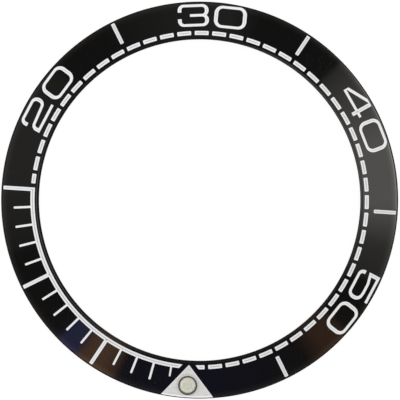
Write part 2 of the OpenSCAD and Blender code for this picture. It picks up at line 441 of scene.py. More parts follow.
class Signal:
    """A node's output that takes part in arithmetic with numbers and other outputs."""

    def __init__(self, graph: Graph, socket: bpy.types.NodeSocket) -> None:
        """Wraps a socket of a node tree."""
        self.graph = graph
        self.socket = socket

    def output(self, name: str | int) -> Signal:
        """Another output of the same node."""
        return Signal(self.graph, self.socket.node.outputs[name])

    def _math(self, operation: str, first: Value, second: Value) -> Signal:
        """A Math node on two values."""
        return self.graph.node("ShaderNodeMath", {"operation": operation}, {0: first, 1: second})

    def __add__(self, other: Value) -> Signal:
        """The sum."""
        return self._math("ADD", self, other)

    def __radd__(self, other: Value) -> Signal:
        """The sum, with a number on the left."""
        return self._math("ADD", other, self)

    def __sub__(self, other: Value) -> Signal:
        """The difference."""
        return self._math("SUBTRACT", self, other)

    def __rsub__(self, other: Value) -> Signal:
        """The difference, with a number on the left."""
        return self._math("SUBTRACT", other, self)

    def __mul__(self, other: Value) -> Signal:
        """The product."""
        return self._math("MULTIPLY", self, other)

    def __rmul__(self, other: Value) -> Signal:
        """The product, with a number on the left."""
        return self._math("MULTIPLY", other, self)

    def __gt__(self, other: Value) -> Signal:
        """1 where this is greater than the other, and 0 elsewhere."""
        return self._math("GREATER_THAN", self, other)


Value = Signal | float | int | Sequence[float]


class Graph:
    """A node tree that is built in Python."""

    def __init__(self, tree: bpy.types.NodeTree) -> None:
        """Takes a node tree to build in."""
        self.tree = tree
        tree.nodes.clear()

    def node(self, kind: str, settings: dict | None = None, sockets: dict | None = None) -> Signal:
        """Adds a node.

        Args:
            kind: The node's type.
            settings: Its settings, which are set first. "stops" are a ramp's positions and colours.
            sockets: The value or link of each socket, by name or number.

        Returns:
            The node's first output that is in use.
        """
        node = self.tree.nodes.new(kind)
        for name, value in (settings or {}).items():
            if name == "stops":
                ramp = node.color_ramp.elements
                ramp.remove(ramp[-1])
                for number, (position, colour) in enumerate(value):
                    stop = ramp.new(position) if number else ramp[0]
                    stop.position, stop.color = position, (*colour, 1.0)
            else:
                setattr(node, name, value)
        for name, value in (sockets or {}).items():
            socket = node.inputs[name]
            if isinstance(value, Signal):
                self.tree.links.new(value.socket, socket)
            elif socket.type == "RGBA":
                socket.default_value = (*value, 1.0)
            else:
                socket.default_value = value
        return Signal(self, next((o for o in node.outputs if o.enabled), None))

    def blend(self, share: Value, first: Value, second: Value) -> Signal:
        """Mixes two colours: the first where the share is 0, the second where it is 1."""
        return self.node("ShaderNodeMix", {"data_type": "RGBA"}, {0: share, 6: first, 7: second}).output(2)

    def ease(self, value: Value, start: float, end: float) -> Signal:
        """Runs smoothly from 0 at the start to 1 at the end."""
        sockets = {"Value": value, "From Min": start, "From Max": end}
        return self.node("ShaderNodeMapRange", {"interpolation_type": "SMOOTHSTEP"}, sockets)

    def ease_mm(self, length: Value, span: Pair) -> Signal:
        """Runs smoothly from 0 to 1 while a length in metres crosses a span in millimetres."""
        return self.ease(length, span[0] * MM, span[1] * MM)

    def vector(self, operation: str, first: Value, second: Value) -> Signal:
        """A Vector Math node on two vectors or colours."""
        return self.node("ShaderNodeVectorMath", {"operation": operation}, {0: first, 1: second})

    def place(self) -> Signal:
        """Where on the object a point is, in metres."""
        return self.node("ShaderNodeTexCoord").output("Object")

    def away_from(self, x_mm: float, y_mm: float) -> Signal:
        """The distance in metres from a point, both seen from above."""
        flat = self.vector("MULTIPLY", self.place(), (1.0, 1.0, 0.0))
        return self.vector("DISTANCE", flat, (x_mm * MM, y_mm * MM, 0.0)).output("Value")

    def grain(self, size_mm: float, detail: float = 2.0, at: Signal | None = None) -> Signal:
        """Cloudy noise from 0 to 1.

        Args:
            size_mm: The size of its clouds.
            detail: How many finer layers it has.
            at: The point to read it at, or none for the place on the object.

        Returns:
            The noise.
        """
        sockets = {"Vector": at or self.place(), "Scale": 1 / (size_mm * MM), "Detail": detail}
        return self.node("ShaderNodeTexNoise", None, sockets)

    def relief(self, height: Value, height_mm: float) -> Signal:
        """A bump of this height, ready for a shader's Normal."""
        return self.node("ShaderNodeBump", None, {"Height": height, "Strength": 1.0, "Distance": height_mm * MM})


# Finishes

MADE: dict[str, bpy.types.Material] = {}


@dataclass(frozen=True)
class Finish:
    """A surface finish, which makes its material once."""

    name: str

    def material(self) -> bpy.types.Material:
        """The material of this finish.

        Returns:
            The material.
        """
        if self.name not in MADE:
            made = bpy.data.materials.new(self.name)
            made.use_nodes = True
            graph = Graph(made.node_tree)
            graph.node("ShaderNodeOutputMaterial", None, {"Surface": self.paint(graph)})
            MADE[self.name] = made
        return MADE[self.name]

    def paint(self, graph: Graph) -> Signal:
        """Builds the shader."""
        raise NotImplementedError


@dataclass(frozen=True)
class PolishedCeramic(Finish):
    """Black zirconia polished to a mirror, with hairline scratches and a few specks of dust."""

    colour: Colour = (0.0011, 0.001, 0.0012)
    ior: float = 2.15
    roughness: float = 0.03
    cloud_mm: float = 2.5
    hair_mm: float = 0.03
    hair_rad: float = 0.6
    speck_mm: float = 0.45
    dust: Colour = (0.09, 0.085, 0.08)
    dust_share: float = 0.008

    def paint(self, graph: Graph) -> Signal:
        """Builds the shader.

        Args:
            graph: The node tree.

        Returns:
            The shader.
        """
        cloud = graph.grain(self.cloud_mm, 3.0)
        stretched = graph.node("ShaderNodeMapping", None, {
            "Vector": graph.place(), "Rotation": (0.0, 0.0, self.hair_rad), "Scale": (1.0, 0.02, 1.0),
        })
        hairs = graph.ease(graph.grain(self.hair_mm, 4.0, stretched), 0.62, 0.74)
        cells = graph.node("ShaderNodeTexVoronoi", None, {"Vector": graph.place(), "Scale": 1 / (self.speck_mm * MM)})
        rare = graph.node("ShaderNodeSeparateColor", None, {"Color": cells.output("Color")}) > 1 - self.dust_share
        dust = (1 - graph.ease(cells, 0.04, 0.09)) * rare
        haze = tuple(c * 1.7 for c in self.colour)
        colour = graph.blend(dust, graph.blend(cloud, self.colour, haze), self.dust)
        return graph.node("ShaderNodeBsdfPrincipled", None, {
            "Base Color": colour, "IOR": self.ior,
            "Roughness": self.roughness + 0.015 * cloud + 0.08 * hairs + 0.3 * dust,
            "Normal": graph.relief(hairs, 0.0004),
        })


@dataclass(frozen=True)
class GroundCeramic(Finish):
    """The same ceramic where it is ground or laser-engraved and left matt."""

    colour: Colour = (0.012, 0.012, 0.013)
    grit_mm: float = 0.025
    cloud_mm: float = 0.8

    def paint(self, graph: Graph) -> Signal:
        """Builds the shader.

        Args:
            graph: The node tree.

        Returns:
            The shader.
        """
        grit, cloud = graph.grain(self.grit_mm, 3.0), graph.grain(self.cloud_mm, 3.0)
        lighter = tuple(c * 2.2 for c in self.colour)
        return graph.node("ShaderNodeBsdfPrincipled", None, {
            "Base Color": graph.blend(grit * cloud, self.colour, lighter), "IOR": PolishedCeramic.ior,
            "Roughness": 0.42 + 0.2 * grit, "Normal": graph.relief(grit, 0.003),
        })


@dataclass(frozen=True)
class Lacquer(Finish):
    """Pale lacquer that fills a recess, with painted light: painted shading lighter along the edge and darker in the
    middle, a painted shadow along the recess's wall, and a painted falloff of light that darkens one side.
    """

    # edge and middle: painted shading of the lacquer's top, lighter along its edge and darker in its middle
    edge: Colour = (0.955, 0.965, 0.985)
    middle: Colour = (0.52, 0.53, 0.56)
    edge_mm: Pair = (0.14, 0.2)
    # wall and the span after it: a painted shadow, a near-black line where the lacquer meets the recess's wall
    wall: Colour = (0.02, 0.02, 0.022)
    edge_shadow_mm: Pair = (0.008, 0.034)
    cloud_mm: float = 0.22
    grit_mm: float = 0.02
    mottle: float = 0.05
    roughness: float = 0.38
    # The next three: a painted falloff of light, the colour darker towards one side of the ring.
    falloff_axis: Triple = (0.75, -0.66, 0.0)
    falloff_tint: Colour = (0.91, 0.9, 0.88)
    falloff_mm: Pair = (-18.0, 18.0)

    def paint(self, graph: Graph) -> Signal:
        """Builds the shader.

        Args:
            graph: The node tree.

        Returns:
            The shader.
        """
        distance = graph.node("ShaderNodeAttribute", {"attribute_name": "edge_distance"}).output("Fac")
        inner = graph.ease(distance, *self.edge_mm)
        cloud, grit = graph.grain(self.cloud_mm, 3.0), graph.grain(self.grit_mm, 2.0)
        # Painted shading: lighter along the edge, darker in the middle.
        body = graph.blend(inner, self.edge, self.middle)
        darker = tuple(c * (1 - self.mottle) for c in self.middle)
        body = graph.blend(inner * graph.ease(cloud, 0.35, 0.7), body, darker)
        # Painted shadow: near-black right at the edge, along the recess's wall.
        colour = graph.blend(graph.ease(distance, *self.edge_shadow_mm), self.wall, self.tinted(graph, body))
        return graph.node("ShaderNodeBsdfPrincipled", None, {
            "Base Color": colour, "Roughness": self.roughness + 0.15 * grit, "IOR": 1.5,
            "Normal": graph.relief(grit, 0.0008),
        })

    def tinted(self, graph: Graph, body: Signal) -> Signal:
        """What a kind of mark adds to its colour: here, a painted falloff of light that darkens one side of the ring.

        Args:
            graph: The node tree.
            body: The lacquer's own colour.

        Returns:
            The colour.
        """
        # Painted falloff of light: the colour darkens along one direction across the ring.
        across = graph.vector("DOT_PRODUCT", graph.place(), self.falloff_axis).output("Value")
        return graph.blend(graph.ease_mm(across, self.falloff_mm), graph.vector("MULTIPLY", body, self.falloff_tint), body)


@dataclass(frozen=True)
class TriangleLacquer(Lacquer):
    """The triangle's silvery lacquer, with painted light: painted shade round the pearl, a painted highlight over the
    rim's bevel and a painted dark line at the rim.
    """

    pearl_r: float = 17.76
    shade: Colour = (0.58, 0.57, 0.545)
    shade_mm: Pair = (0.95, 1.25)
    # strip: a painted highlight on the lacquer where it turns down over the rim's bevel
    strip: Colour = (0.97, 0.97, 0.965)
    bevel_highlight_mm: Pair = (18.74, 18.8)
    # A painted dark line at the rim, where the lacquer on the bevel shows shaded.
    rim_shade_mm: Pair = (18.9, 18.92)

    def tinted(self, graph: Graph, body: Signal) -> Signal:
        """Adds the painted shade round the pearl, the painted highlight over the bevel and the painted dark line at the
        rim, by their distances from the pearl and from the ring's axis.

        Args:
            graph: The node tree.
            body: The lacquer's own colour.

        Returns:
            The colour.
        """
        radius = graph.away_from(0.0, 0.0)
        body = graph.blend(graph.ease_mm(graph.away_from(0.0, self.pearl_r), self.shade_mm), self.shade, body)
        # Painted highlight over the rim's bevel.
        body = graph.blend(graph.ease_mm(radius, self.bevel_highlight_mm), body, self.strip)
        # Painted shade at the rim, in the near-black of the edge shadow.
        return graph.blend(graph.ease_mm(radius, self.rim_shade_mm), body, self.wall)


@dataclass(frozen=True)
class TurnedSteel(Finish):
    """Dark steel with fine marks of the tool round its axis."""

    colour: Colour = (0.43, 0.42, 0.385)
    groove: float = 0.7
    groove_mm: float = 0.08
    centre_mm: Pair = (0.0, 0.0)

    def paint(self, graph: Graph) -> Signal:
        """Builds the shader.

        Args:
            graph: The node tree.

        Returns:
            The shader.
        """
        centred = graph.node("ShaderNodeMapping", {"vector_type": "TEXTURE"}, {
            "Vector": graph.place(), "Location": (self.centre_mm[0] * MM, self.centre_mm[1] * MM, 0.0),
        })
        rings = graph.node("ShaderNodeTexWave", {"wave_type": "RINGS", "rings_direction": "Z"}, {
            "Vector": centred, "Scale": 1 / (self.groove_mm * MM), "Distortion": 1.5, "Detail": 2.0,
        })
        darker = tuple(c * self.groove for c in self.colour)
        return graph.node("ShaderNodeBsdfPrincipled", None, {
            "Base Color": graph.blend(rings, darker, self.colour), "Metallic": 1.0,
            "Roughness": 0.34 + 0.12 * rings, "Normal": graph.relief(rings, 0.0015),
        })


@dataclass(frozen=True)
class LumePaint(Finish):
    """Luminous paint, cream with a green cast, which shows its coarse pigment, with a painted highlight round its rim.
    """

    colour: Colour = (0.83, 0.795, 0.69)
    shade: Colour = (0.73, 0.705, 0.6)
    # edge: a painted highlight, lighter round the pellet's rim, where the lens's edge brightens it
    edge: Colour = (0.97, 0.94, 0.83)
    centre_r: float = 17.76
    edge_mm: Pair = (0.4, 0.6)
    grit_mm: float = 0.03

    def paint(self, graph: Graph) -> Signal:
        """Builds the shader.

        Args:
            graph: The node tree.

        Returns:
            The shader.
        """
        grit = graph.grain(self.grit_mm, 3.0)
        # Painted highlight: lighter towards the pellet's rim.
        rim = graph.ease_mm(graph.away_from(0.0, self.centre_r), self.edge_mm)
        body = graph.blend(graph.ease(grit, 0.3, 0.75), self.shade, self.colour)
        return graph.node("ShaderNodeBsdfPrincipled", None, {
            "Base Color": graph.blend(rim, body, self.edge),
            "Roughness": 0.7, "Subsurface Weight": 0.2, "Subsurface Scale": 0.05 * MM,
            "Normal": graph.relief(grit, 0.004),
        })


@dataclass(frozen=True)
class LensPlastic(Finish):
    """The pearl's clear cap: glossy, a little hazy, and more of a mirror where it is seen from the side."""

    colour: Colour = (0.93, 0.935, 0.88)
    haze: float = 0.1
    sheen: float = 0.5
    wear_mm: float = 0.12

    def paint(self, graph: Graph) -> Signal:
        """Builds the shader.

        Args:
            graph: The node tree.

        Returns:
            The shader.
        """
        wear = graph.grain(self.wear_mm, 3.0)
        aslant = graph.node("ShaderNodeLayerWeight", None, {"Blend": 0.5}).output("Facing")
        return graph.node("ShaderNodeBsdfPrincipled", None, {
            "Base Color": self.colour, "IOR": 1.47, "Roughness": 0.03 + 0.05 * wear,
            "Alpha": self.haze + self.sheen * aslant * aslant,
        })


@dataclass(frozen=True)
class AdhesiveFilm(Finish):
    """Double-sided adhesive film: cream, tacky, with the carrier's short fibres in it."""

    colour: Colour = (0.78, 0.74, 0.63)
    fibre: Colour = (0.88, 0.86, 0.78)
    fibre_mm: float = 0.06
    lays_rad: Triple = (0.4, 1.5, 2.6)

    def paint(self, graph: Graph) -> Signal:
        """Builds the shader.

        Args:
            graph: The node tree.

        Returns:
            The shader.
        """
        layers: list[Signal] = []
        for angle in self.lays_rad:
            lying = graph.node("ShaderNodeMapping", None, {
                "Vector": graph.place(), "Rotation": (0.0, 0.0, angle), "Scale": (1.0, 0.06, 1.0),
            })
            layers.append(graph.ease(graph.grain(self.fibre_mm, 2.0, lying), 0.55, 0.68))
        fibres = 1 - (1 - layers[0]) * (1 - layers[1]) * (1 - layers[2])
        return graph.node("ShaderNodeBsdfPrincipled", None, {
            "Base Color": graph.blend(fibres, self.colour, self.fibre), "IOR": 1.47,
            "Roughness": 0.34 + 0.2 * fibres, "Normal": graph.relief(fibres, 0.003),
        })


@dataclass(frozen=True)
class LightTable(Finish):
    """The pale floor: bright to the camera, single-sided, so that the part's back can be seen through it."""

    glow: float = 0.9
    fill: float = 0.72
    albedo: float = 0.16

    def paint(self, graph: Graph) -> Signal:
        """Builds the shader.

        Args:
            graph: The node tree.

        Returns:
            The shader.
        """
        ray = graph.node("ShaderNodeLightPath")
        seen, lit, mirrored, through = (
            ray.output(f"Is {kind} Ray") for kind in ("Camera", "Diffuse", "Glossy", "Transmission")
        )
        strength = self.glow * seen + self.fill * lit + self.fill * through * mirrored
        glow = graph.node("ShaderNodeEmission", None, {"Color": (1.0, 1.0, 1.0), "Strength": strength})
        seen_as = graph.blend(mirrored * (1 - through), (self.albedo,) * 3, (self.albedo / 2,) * 3)
        paper = graph.node("ShaderNodeBsdfDiffuse", None, {"Color": seen_as})
        top = graph.node("ShaderNodeAddShader", None, {0: glow, 1: paper})
        back = graph.node("ShaderNodeNewGeometry").output("Backfacing")
        return graph.node("ShaderNodeMixShader", None, {0: back, 1: top, 2: graph.node("ShaderNodeBsdfTransparent")})


BLACK = PolishedCeramic("polished_ceramic")
MATT_BLACK = GroundCeramic("ground_ceramic")
WHITE = Lacquer("white_lacquer")
MARK_WHITE = Lacquer("mark_lacquer", middle=(0.7, 0.71, 0.73), edge_mm=(0.08, 0.14))
SILVER = TriangleLacquer(
    "triangle_lacquer", edge=(0.84, 0.835, 0.83), middle=(0.755, 0.74, 0.72), edge_mm=(0.05, 0.12),
    edge_shadow_mm=(0.006, 0.016), mottle=0.13, roughness=0.42,
)


# The ring

@dataclass(frozen=True)
class Fillet:
    """The round between two straight lines of the ring's section, in radius and height."""

    start: float
    end: float
    centre: Pair
    radius: float

    @classmethod
    def between(cls, corner: Pair, slopes: Pair, radius: float) -> Fillet:
        """Rounds a corner of the section.

        Args:
            corner: Radius and height of the corner.
            slopes: Slope of the line on the bore's side and of the line on the rim's side.
            radius: Radius of the round.

        Returns:
            The fillet.
        """
        before, after = (math.atan(s) for s in slopes)
        reach = radius * math.tan((before - after) / 2)
        start = corner[0] - reach * math.cos(before)
        centre = (start + radius * math.sin(before), corner[1] - reach * math.sin(before) - radius * math.cos(before))
        return cls(start, corner[0] + reach * math.cos(after), centre, radius)

    def at(self, r: float) -> Pair:
        """Height and slope at a radius.

        Args:
            r: The radius.

        Returns:
            The height, and the slope outwards.
        """
        aside = r - self.centre[0]
        rise = math.sqrt(self.radius**2 - aside**2)
        return self.centre[1] + rise, -aside / rise


@dataclass(frozen=True)
class RingBlank:
    """The ceramic ring before engraving: its sizes, and the heights of its surfaces at any radius."""

    outer_d: float = 38.0
    ring_w: float = 3.6
    ring_t: float = 1.0
    face_drop: float = 0.25
    rim_bevel: float = 0.12
    bore_bevel: float = 0.19
    back_bevel: float = 0.1
    adhesive_t: float = 0.15
    recess_depth: float = 0.18
    inlay_sink: float = 0.02
    inlay_clearance: float = 0.01
    crown: float = 0.008
    roll: float = 0.012
    roll_w: float = 0.7
    edge_round: float = 0.07

    @property
    def outer_r(self) -> float:
        """Radius of the rim."""
        return self.outer_d / 2

    @property
    def bore_r(self) -> float:
        """Radius of the bore."""
        return self.outer_r - self.ring_w

    @property
    def face_r(self) -> float:
        """Radius at which the face meets the rim's bevel."""
        return self.outer_r - self.rim_bevel

    @property
    def lid_bevel_r(self) -> float:
        """Radius at which the inlays' top turns down over the rim's bevel."""
        return self.face_r - self.inlay_sink / 2

    @property
    def lip_r(self) -> float:
        """Radius at which the face meets the bore's bevel."""
        return self.bore_r + self.bore_bevel

    @property
    def slope_deg(self) -> float:
        """How steeply the face falls towards the rim."""
        return math.degrees(math.atan(self.face_drop / self.ring_w))

    def face_z(self, r: float) -> float:
        """Height of the true cone that the face follows."""
        return self.adhesive_t + self.ring_t - self.face_drop * (r - self.bore_r) / self.ring_w

    def floor_z(self, r: float) -> float:
        """Height of the floor of the engraved recesses."""
        return self.face_z(r) - self.recess_depth

    def lid_z(self, r: float) -> float:
        """Height of the inlays' top, which follows the rim's bevel."""
        return self.face_z(min(r, self.lid_bevel_r)) - self.inlay_sink - max(0.0, r - self.lid_bevel_r)

    def crowned(self, r: float) -> Pair:
        """Height and slope of the polished face, which bulges a little and rolls off towards the rim.

        Args:
            r: The radius.

        Returns:
            The height, and the slope outwards.
        """
        length = self.face_r - self.lip_r
        share = (r - self.lip_r) / length
        rolled = max(0.0, 1 + (r - self.face_r) / self.roll_w)
        height = self.face_z(r) + 4 * self.crown * share * (1 - share) - self.roll * rolled**3
        slope = -self.face_drop / self.ring_w + 4 * self.crown * (1 - 2 * share) / length
        return height, slope - 3 * self.roll * rolled**2 / self.roll_w

    def fillets(self) -> tuple[Fillet, Fillet]:
        """The rounds at the bore's and the rim's edge of the face.

        Returns:
            The one at the bore's edge, and the one at the rim's.
        """
        low, high = self.crowned(self.lip_r), self.crowned(self.face_r)
        return (
            Fillet.between((self.lip_r, low[0]), (1.0, low[1]), self.edge_round),
            Fillet.between((self.face_r, high[0]), (high[1], -1.0), self.edge_round),
        )

    def top(self, r: float) -> Pair:
        """Height and slope of the ring's upper side at a radius.

        Args:
            r: The radius.

        Returns:
            The height, and the slope outwards.
        """
        for fillet in self.fillets():
            if fillet.start <= r <= fillet.end:
                return fillet.at(r)
        if r < self.lip_r:
            return self.face_z(self.lip_r) + r - self.lip_r, 1.0
        if r > self.face_r:
            return self.face_z(self.face_r) + self.face_r - r, -1.0
        return self.crowned(r)


class Zone(Enum):
    """What a triangle of the ring's plan is part of."""

    FACE = "face"
    LIP = "lip"
    FLOOR = "floor"
    HOLE = "hole"


@dataclass
class Inlay:
    """One lacquered mark: the CAD node that it stands for, its outline, and its finish."""

    node: str
    loops: list[Loop]
    finish: Finish = WHITE


@dataclass
class InlayMaker:
    """Turns outlines into lacquer fills that lie in the ring's recesses."""

    blank: RingBlank
    spacing: float = 0.075
    dip: float = 0.008
    dip_reach: float = 0.12
    crease_share: float = 0.4

    def mesh(self, name: str, inlay: Inlay, creases: Sequence[Loop] = ()) -> Piece:
        """Builds a fill as a closed mesh whose top dips away from its edges.

        Args:
            name: The object's name.
            inlay: The outline and finish.
            creases: Other loops that the top has to follow.

        Returns:
            The object, with each top vertex's distance from the edge as an attribute.
        """
        grid = grid_inside(inlay.loops, self.spacing)
        for crease in creases:
            grid = grid[distance_to(grid, [crease]) > self.crease_share * self.spacing]
        plan = Plan.of([*inlay.loops, *creases], [Vector(p) for p in grid])
        count = len(inlay.loops)
        chosen = [i for i, own in enumerate(plan.owners) if sum(o < count for o in own) % 2 == 1]
        used = sorted({c for i in chosen for c in plan.triangles[i]})
        gaps = dict(zip(used, distance_to(plan.points[used], inlay.loops)))
        shell = Shell()

        def corner(index: int, top: bool) -> int:
            """The vertex of a plan point, at the fill's top or its floor.

            Args:
                index: The plan point.
                top: Whether the vertex is on top.

            Returns:
                The vertex's index.
            """
            x, y = plan.points[index]
            r = math.hypot(x, y)
            share = min(1.0, gaps[index] / self.dip_reach)
            dip = self.dip * share * share * (3 - 2 * share)
            z = self.blank.lid_z(r) - dip if top else self.blank.floor_z(r)
            return shell.vertex((index, top), lambda: (x, y, z))

        for i in chosen:
            triangle = plan.triangles[i]
            shell.face([corner(c, True) for c in triangle])
            shell.face([corner(c, False) for c in reversed(triangle)])
        for a, b in plan.borders(chosen):
            shell.face((corner(b, True), corner(a, True), corner(a, False), corner(b, False)))
        piece = shell.build(name, [inlay.finish])
        attribute = piece.data.attributes.new("edge_distance", "FLOAT", "POINT")
        values = np.zeros(len(shell.vertices), np.float32)
        for (index, _), vertex in shell.named().items():
            values[vertex] = max(0.0, gaps[index])
        attribute.data.foreach_set("value", values)
        return piece


@dataclass
class InsertRing:
    """The engraved ceramic ring, which replaces the CAD ring with softer edges and a crowned, polished face."""

    blank: RingBlank
    pockets: list[list[Loop]]
    triangle: ZeroTriangle
    pearl: Pearl
    lip: float = 0.012
    grid_rows: int = 9
    roll_rows: int = 6
    round_rows: int = 3
    outline_step: float = 0.2
    clear: float = 0.05
    back_rows: int = 3
    angle_clear: float = 0.03
    block: int = 500

    def angles(self) -> list[float]:
        """The angles at which the ring's circles have vertices, among them those where the triangle meets the rim.

        Returns:
            The angles in degrees, the largest first.
        """
        b = self.blank
        extra = [
            side * self.triangle.meets(b.outer_r, b.inlay_clearance + grow)
            for side in (-1, 1) for grow in (0.0, self.lip)
        ]
        even = [-180 + 360 * k / RING_STEPS for k in range(RING_STEPS)]
        kept = [a for a in even if min(abs(a - e) for e in extra) > self.angle_clear]
        return sorted(kept + extra, reverse=True)

    def plan(self, angles: list[float]) -> tuple[Plan, dict[int, Zone]]:
        """Triangulates the ring as seen from above.

        Args:
            angles: The angles of the vertices of its circles.

        Returns:
            The plan and the zone of each triangle that is part of the ring.
        """
        b = self.blank
        circles = [[on_ring(r, a) for a in angles] for r in (b.outer_r, b.bore_r)]
        crease_radii = [
            fillet.start + (fillet.end - fillet.start) * k / self.round_rows
            for fillet in b.fillets() for k in range(self.round_rows + 1)
        ]
        creases = [[on_ring(r, a) for a in angles] for r in crease_radii]
        outer: list[Loop] = []
        inner: list[Loop] = []
        for loops in self.pockets:
            outer += [finer(offset(loop, b.inlay_clearance + self.lip), self.outline_step) for loop in loops]
            inner += [offset(loop, b.inlay_clearance) for loop in loops]
        outer.append(self.triangle.sector(b.outer_r, b.inlay_clearance + self.lip, angles))
        inner.append(self.triangle.sector(b.outer_r, b.inlay_clearance, angles))
        hole = self.pearl.hole_loop()
        edges = [*outer, *inner, hole]
        low, high = b.fillets()[0].end, b.fillets()[1].start
        rolling = b.face_r - b.roll_w
        rows = [*np.linspace(low, rolling, self.grid_rows + 2)[1:]]
        rows += [*np.linspace(rolling, high, self.roll_rows + 2)[1:-1]]
        free = np.array([on_ring(r, a + 0.25 * (n % 2))[:] for n, r in enumerate(rows) for a in angles])
        free = free[self.far_from(free, edges)]
        plan = Plan.of([*circles, *outer, *inner, hole, *creases], [Vector(p) for p in free])
        first_inner = 2 + len(outer)
        first_hole = first_inner + len(inner)
        zones: dict[int, Zone] = {}
        for i, own in enumerate(plan.owners):
            if 0 not in own or 1 in own:
                continue
            if first_hole in own:
                zones[i] = Zone.HOLE
            elif sum(first_inner <= o < first_hole for o in own) % 2:
                zones[i] = Zone.FLOOR
            elif sum(2 <= o < first_inner for o in own) % 2:
                zones[i] = Zone.LIP
            else:
                zones[i] = Zone.FACE
        return plan, zones

    def far_from(self, points: np.ndarray, loops: list[Loop]) -> np.ndarray:
        """Whether each point keeps clear of the loops, tested against their vertices in blocks.

        Args:
            points: The points, one in each row.
            loops: The outlines.

        Returns:
            A truth value for each point.
        """
        corners = np.array([p[:] for loop in loops for p in loop])
        far = np.ones(len(points), bool)
        for start in range(0, len(points), self.block):
            block = slice(start, start + self.block)
            far[block] = np.linalg.norm(points[block, None, :] - corners[None], axis=2).min(1) > self.clear
        return far

    def build(self) -> Piece:
        """Builds the ring.

        Returns:
            The object, with the face's true normals.
        """
        b = self.blank
        angles = self.angles()
        plan, zones = self.plan(angles)
        shell = Shell()
        floors = {c for i, zone in zones.items() if zone in (Zone.FLOOR, Zone.HOLE) for c in plan.triangles[i]}

        def corner(index: int, zone: Zone) -> int:
            """The vertex of a plan point in a zone.

            Args:
                index: The plan point.
                zone: The zone that the vertex belongs to.

            Returns:
                The vertex's index.
            """
            x, y = plan.points[index]
            r = math.hypot(x, y)
            if zone is Zone.HOLE:
                return shell.vertex((index, "hole"), lambda: self.pearl.under(Vector((x, y, b.floor_z(r)))))
            if zone is Zone.FLOOR:
                return shell.vertex((index, "floor"), lambda: (x, y, b.floor_z(r)))
            sunk = self.lip if zone is Zone.LIP and index in floors else 0.0
            return shell.vertex((index, "lip" if sunk else "top"), lambda: (x, y, b.top(r)[0] - sunk))

        side_of: dict[tuple[int, int], Zone] = {}
        for i, zone in zones.items():
            triangle = plan.triangles[i]
            matt = 1 if zone in (Zone.FLOOR, Zone.HOLE) else 0
            shell.face([corner(c, zone) for c in triangle], matt, polished=zone is Zone.FACE)
            side_of.update({(triangle[k - 1], triangle[k]): zone for k in range(3)})
        rim: dict[int, int] = {}
        bore: dict[int, int] = {}
        for (p, q), zone in side_of.items():
            beyond = side_of.get((q, p))
            if beyond is None and math.hypot(*plan.points[p]) < (b.outer_r + b.bore_r) / 2:
                bore[p] = corner(p, zone)
            elif beyond is None:
                upper, lower = (corner(q, zone), corner(p, zone)), (corner(p, Zone.FLOOR), corner(q, Zone.FLOOR))
                if zone is not Zone.FLOOR:
                    shell.face((*upper, *lower))
                rim[p] = lower[0]
            elif (zone, beyond) in ((Zone.LIP, Zone.FLOOR), (Zone.FLOOR, Zone.HOLE)):
                shell.face((corner(q, zone), corner(p, zone), corner(p, beyond), corner(q, beyond)), 1)
        self.close_back(shell, plan, rim, bore)
        piece = shell.build("ceramic_ring", [BLACK, MATT_BLACK])
        self.true_normals(piece, shell)
        return piece

    def close_back(self, shell: Shell, plan: Plan, rim: dict[int, int], bore: dict[int, int]) -> None:
        """Adds the rim's wall, the back and the bore's wall.

        Args:
            shell: The mesh so far.
            plan: The ring's plan.
            rim: The vertex at each plan point of the rim.
            bore: The vertex at each plan point of the bore.
        """
        b = self.blank

        def turn(index: int) -> float:
            """A plan point's angle round the axis."""
            return math.atan2(plan.points[index][1], plan.points[index][0])

        rim_order, bore_order = sorted(rim, key=turn), sorted(bore, key=turn)
        low, back = b.adhesive_t + b.back_bevel, b.adhesive_t
        steps = [math.pi / 2 * k / self.back_rows for k in range(self.back_rows + 1)]
        sections = [(b.outer_r - b.back_bevel * (1 - math.cos(a)), low - b.back_bevel * math.sin(a)) for a in steps]
        sections += [
            (b.bore_r + b.back_bevel * (1 - math.sin(a)), low - b.back_bevel * math.cos(a)) for a in steps
        ]
        rows = [[rim[i] for i in rim_order]]
        for number, (r, z) in enumerate(sections):
            rows.append([
                shell.vertex(("back", number, k), lambda k=k: (r * math.cos(turn(k)), r * math.sin(turn(k)), z))
                for k in rim_order
            ])
        rows.append([bore[i] for i in bore_order])
        for number, (upper, lower) in enumerate(zip(rows, rows[1:])):
            shell.strip(upper, lower, 1 if number == len(steps) else 0)
        log.info("ring: back at %.2f mm, %d vertices round the rim, %d round the bore", back, len(rim), len(bore))

    def true_normals(self, piece: Piece, shell: Shell) -> None:
        """Gives the polished face the normals of its formula, so that its reflections run smoothly.

        Args:
            piece: The ring's object.
            shell: What its mesh was made from.
        """
        mesh = piece.data
        normals = np.zeros(len(mesh.loops) * 3, np.float32)
        mesh.corner_normals.foreach_get("vector", normals)
        normals = normals.reshape(-1, 3)
        for polygon in mesh.polygons:
            if shell.polished[polygon.index]:
                for loop in polygon.loop_indices:
                    x, y, _ = shell.vertices[mesh.loops[loop].vertex_index]
                    r = math.hypot(x, y)
                    slope = self.blank.top(r)[1]
                    normals[loop] = Vector((-slope * x / r, -slope * y / r, 1.0)).normalized()
        mesh.normals_split_custom_set([tuple(n) for n in normals])


# The marks

